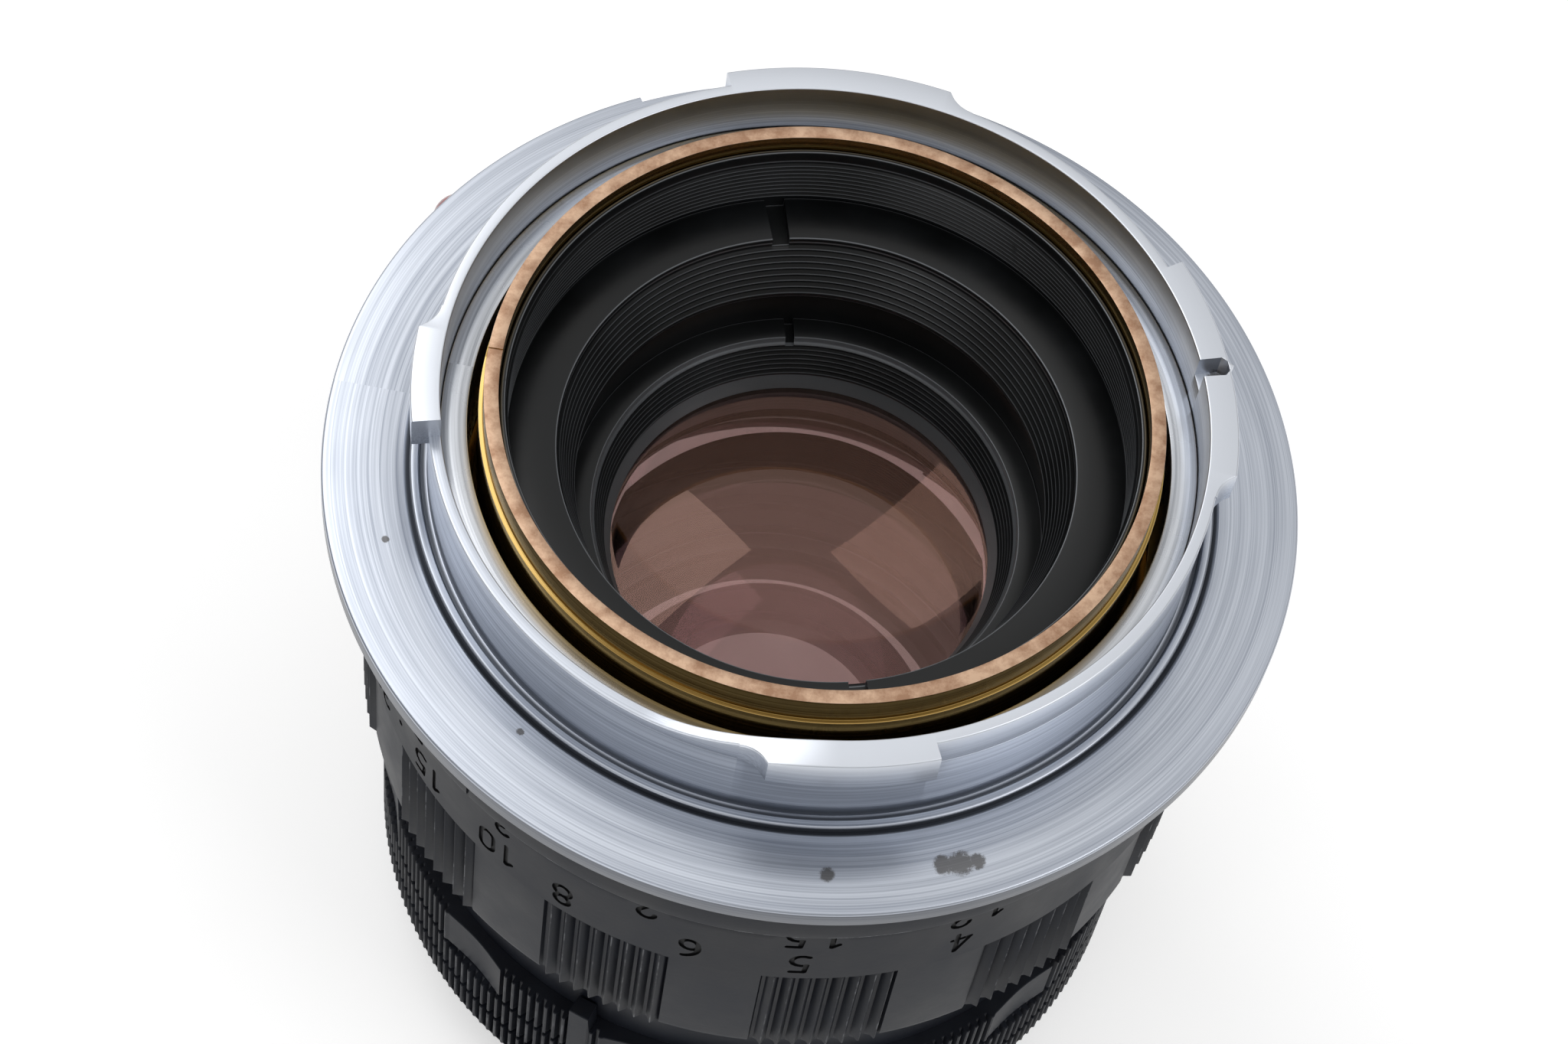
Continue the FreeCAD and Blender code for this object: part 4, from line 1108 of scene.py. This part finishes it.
# %% Head barrel and front cell
outline = [(18.05, -5.6), (18.05, -8.0), (18.58, -8.0), (18.58, -43.0), (20.4, -43.0),
           (20.4, -41.0), (22.0, -41.0), (22.0, -30.9), (23.2, -30.9), (23.2, -24.0),
           (20.0, -24.0), (20.0, -5.6)]
skin("head_tube", ROUND, *stacked(outline, ROUND), black_lacquer, "head", ["head_barrel"],
     "black_lacquer", soft=0.08)
outline = [(12.6, -28.8), (16.1, -28.8), (16.1, -37.5), (18.55, -37.5), (18.55, -40.0),
           (15.3, -40.0), (15.3, -35.4), (13.63, -35.4), (13.63, -30.2), (12.6, -30.2)]
skin("front_cell_wall", ROUND, *stacked(outline, ROUND), well_black, "head",
     ["front_cell"], "black_anodised", soft=0.04)

# %% Stepped front ring with two slots for a tool
slots = slot_angles((0, 180), 0.80, 18.0)
theta = angles_with([a for s in slots for a in s], 540)
outline = [(14.05, -38.60)]
outline += [(r + i * 0.62, -39.9 - i * 0.45) for i in range(6) for r in (14.35, 14.65)]
outline += [(18.4, -42.6), (18.4, -40.0), (15.25, -40.0), (15.25, -38.6)]
radius, height, wear = soften(*stacked(outline, theta), 0.04)
cut = sum(within(theta, *s) for s in slots)[:, None] > 0
height[cut & (radius > 17.42) & (height < -41.9)] = -41.9
skin("stepped_front_ring", theta, radius, height, well_black, "head", ["front_ring"],
     "black_anodised", soft=0, wear=wear)

# %% Filter ring with its thread and the aperture figures
THREAD_TOP, THREAD_PITCH, GROOVES = -43.30, 0.50, 5
STOPS = (("2", 0), ("2.8", 9), ("4", 18), ("5.6", 27), ("8", 36), ("11", 49.5), ("16", 63))
thread = []
for i in range(GROOVES):
    z = THREAD_TOP - i * THREAD_PITCH
    thread += [(19.5, z), (19.5, z - 0.12), (19.82, z - 0.32), (19.82, z - 0.38)]
outline = [(21.4, -46.25), (21.15, -46.5), (19.85, -46.5), (19.5, -46.15), *thread[::-1],
           (19.5, -43.25), (18.75, -43.25), (18.75, -43.05), (20.43, -43.05),
           (20.43, -41.0), (23.2, -41.0), (23.2, -42.3), (21.4, -42.3), (21.4, -42.35)]
figures = []
for text, turn in STOPS:
    figures += on_ring(text, 1.35, INDEX_AT + turn, -44.4, 21.4, width=0.20)
banded_ring("numbered_filter_ring", outline, figures, "head", "filter_ring", 0.11)

# %% [markdown]
# ## Pieces that stay as they are
# Screws, keys, pins, the drive sleeve and the iris blades are already the right shape and
# mostly hidden.  Skins for them would not be seen, so they only get their finish.

# %% Finishes for the frame's own pieces
finish = {
    steel: ["collar_screws", "key_screws", "ring_screws", "drive_screws", "cam_screws",
            "focus_stop_pin", "iris_drive_pin", "click_ball", "click_spring"],
    drive_brass: ["guide_keys", "focus_retainer", "drive_sleeve"],
    well_black: ["optical_nut"],
    blade_black: ["iris_base", "iris_ring", "front_spacer", "rear_spacer"]
    + ["iris_blade_%d" % k for k in range(1, 11)],
}
for material, nodes in finish.items():
    for node in nodes:
        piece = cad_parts[node]
        if not piece.material_slots:
            piece.data.materials.append(material)
        for one_slot in piece.material_slots:
            one_slot.material = material
print("finished frame pieces:", sum(len(nodes) for nodes in finish.values()))

# %% [markdown]
# ## Floor
# The lens stands on its front rim on a sheet of white card.  In this light a card renders as
# grey.  More lamps would wash out the chrome, so the card glows a little, but only for rays
# that end in the camera, straight or by way of metal and glass; the glow lights nothing.

# %% Floor


def seen_rays(tree):
    """The light path, and 1 for rays from the camera, from a mirror or through glass."""
    path = add(tree, "LightPath")
    mirror = add(tree, "Math", {"operation": "MAXIMUM", 0: path.outputs["Is Glossy Ray"],
                                1: path.outputs["Is Transmission Ray"]})
    seen = add(tree, "Math", {"operation": "MAXIMUM", 0: path.outputs["Is Camera Ray"],
                              1: mirror})
    return path, seen


FLOOR_HALF, FLOOR_GLOW = 1.5, 0.40
low = cad_box[0][2] - 0.02 * MM
pale_floor, tree = new_material("pale_floor")
speckle = add(tree, "TexNoise",
              {"Vector": around_axis(tree)[0], "Scale": 1 / (25 * MM), "Detail": 2.0})
floor_tone = add(tree, "ValToRGB",
                 {"Fac": speckle, "stops": ((0.3, srgb("f2f2f2")), (0.7, srgb("f6f6f6")))})
lift = add(tree, "Math", {"operation": "MULTIPLY", 0: seen_rays(tree)[1], 1: FLOOR_GLOW})
finish_with(tree, {"Base Color": floor_tone, "Roughness": 0.9, "Emission Color": LIGHT,
                   "Emission Strength": lift})
floor_mesh = bpy.data.meshes.new("floor")
corners = [(x * FLOOR_HALF, y * FLOOR_HALF, low)
           for x, y in ((-1, -1), (1, -1), (1, 1), (-1, 1))]
floor_mesh.from_pydata(corners, [], [(0, 1, 2, 3)])
floor_mesh.materials.append(pale_floor)
floor = bpy.data.objects.new("floor", floor_mesh)
bpy.context.collection.objects.link(floor)
print("floor at", round(low / MM, 2), "mm")

# %% [markdown]
# ## World
# A white room lights everything evenly.  A picture of a real room could be wrapped round the
# scene; plain white keeps the script free of other files.  Metal that mirrors plain white
# has no form, so mirrored rays see a sky that darkens towards the horizon.

# %% World
world = bpy.data.worlds.new("studio")
bpy.context.scene.world = world
world.use_nodes = True
tree = world.node_tree
tree.nodes.clear()
path, seen = seen_rays(tree)
strength = add(tree, "MapRange", {"Value": seen, "To Min": 0.55, "To Max": 1.0})
way = add(tree, "SeparateXYZ", {"Vector": add(tree, "TexCoord").outputs["Generated"]})
climb = add(tree, "MapRange", {"Value": way.outputs[2], "From Min": 0.20, "From Max": 0.80,
                               "To Min": 0.38, "To Max": 1.0})
dimmed = add(tree, "Mix", {"data_type": "FLOAT", 0: path.outputs["Is Glossy Ray"],
                           2: strength, 3: climb})
sky = add(tree, "Background", {"Color": LIGHT, "Strength": dimmed})
add(tree, "OutputWorld", {"Surface": sky})
print("world nodes:", len(tree.nodes))

# %% [markdown]
# ## Lamps
# Three soft boxes give the chrome something bright and broad to mirror: one high on the
# left, one on the right and a small one in front.  Point lamps would be simpler, but would
# show as hard dots in the metal and the glass.

# %% Lamps


def lamp(name, place, aim, width, depth, watts):
    """A rectangular soft lamp at a place in metres, turned to face its aim."""
    data = bpy.data.lights.new(name, "AREA")
    data.shape = "RECTANGLE"
    data.size = width
    data.size_y = depth
    data.energy = watts
    light = bpy.data.objects.new(name, data)
    turn = (Vector(aim) - Vector(place)).to_track_quat("-Z", "Y").to_matrix().to_4x4()
    light.matrix_world = Matrix.Translation(Vector(place)) @ turn
    bpy.context.collection.objects.link(light)
    print(name, watts, "W")


lamp("key_softbox", (-0.35, 0.25, 0.55), (0, 0, 0), 0.5, 0.4, 1.15)
lamp("fill_softbox", (0.5, -0.2, 0.45), (0, 0, 0), 0.4, 0.4, 0.9)
lamp("front_softbox", (-0.3, -0.6, 0.15), (0, 0, -0.01), 0.4, 0.3, 0.5)
bpy.context.scene.view_settings.view_transform = "Standard"
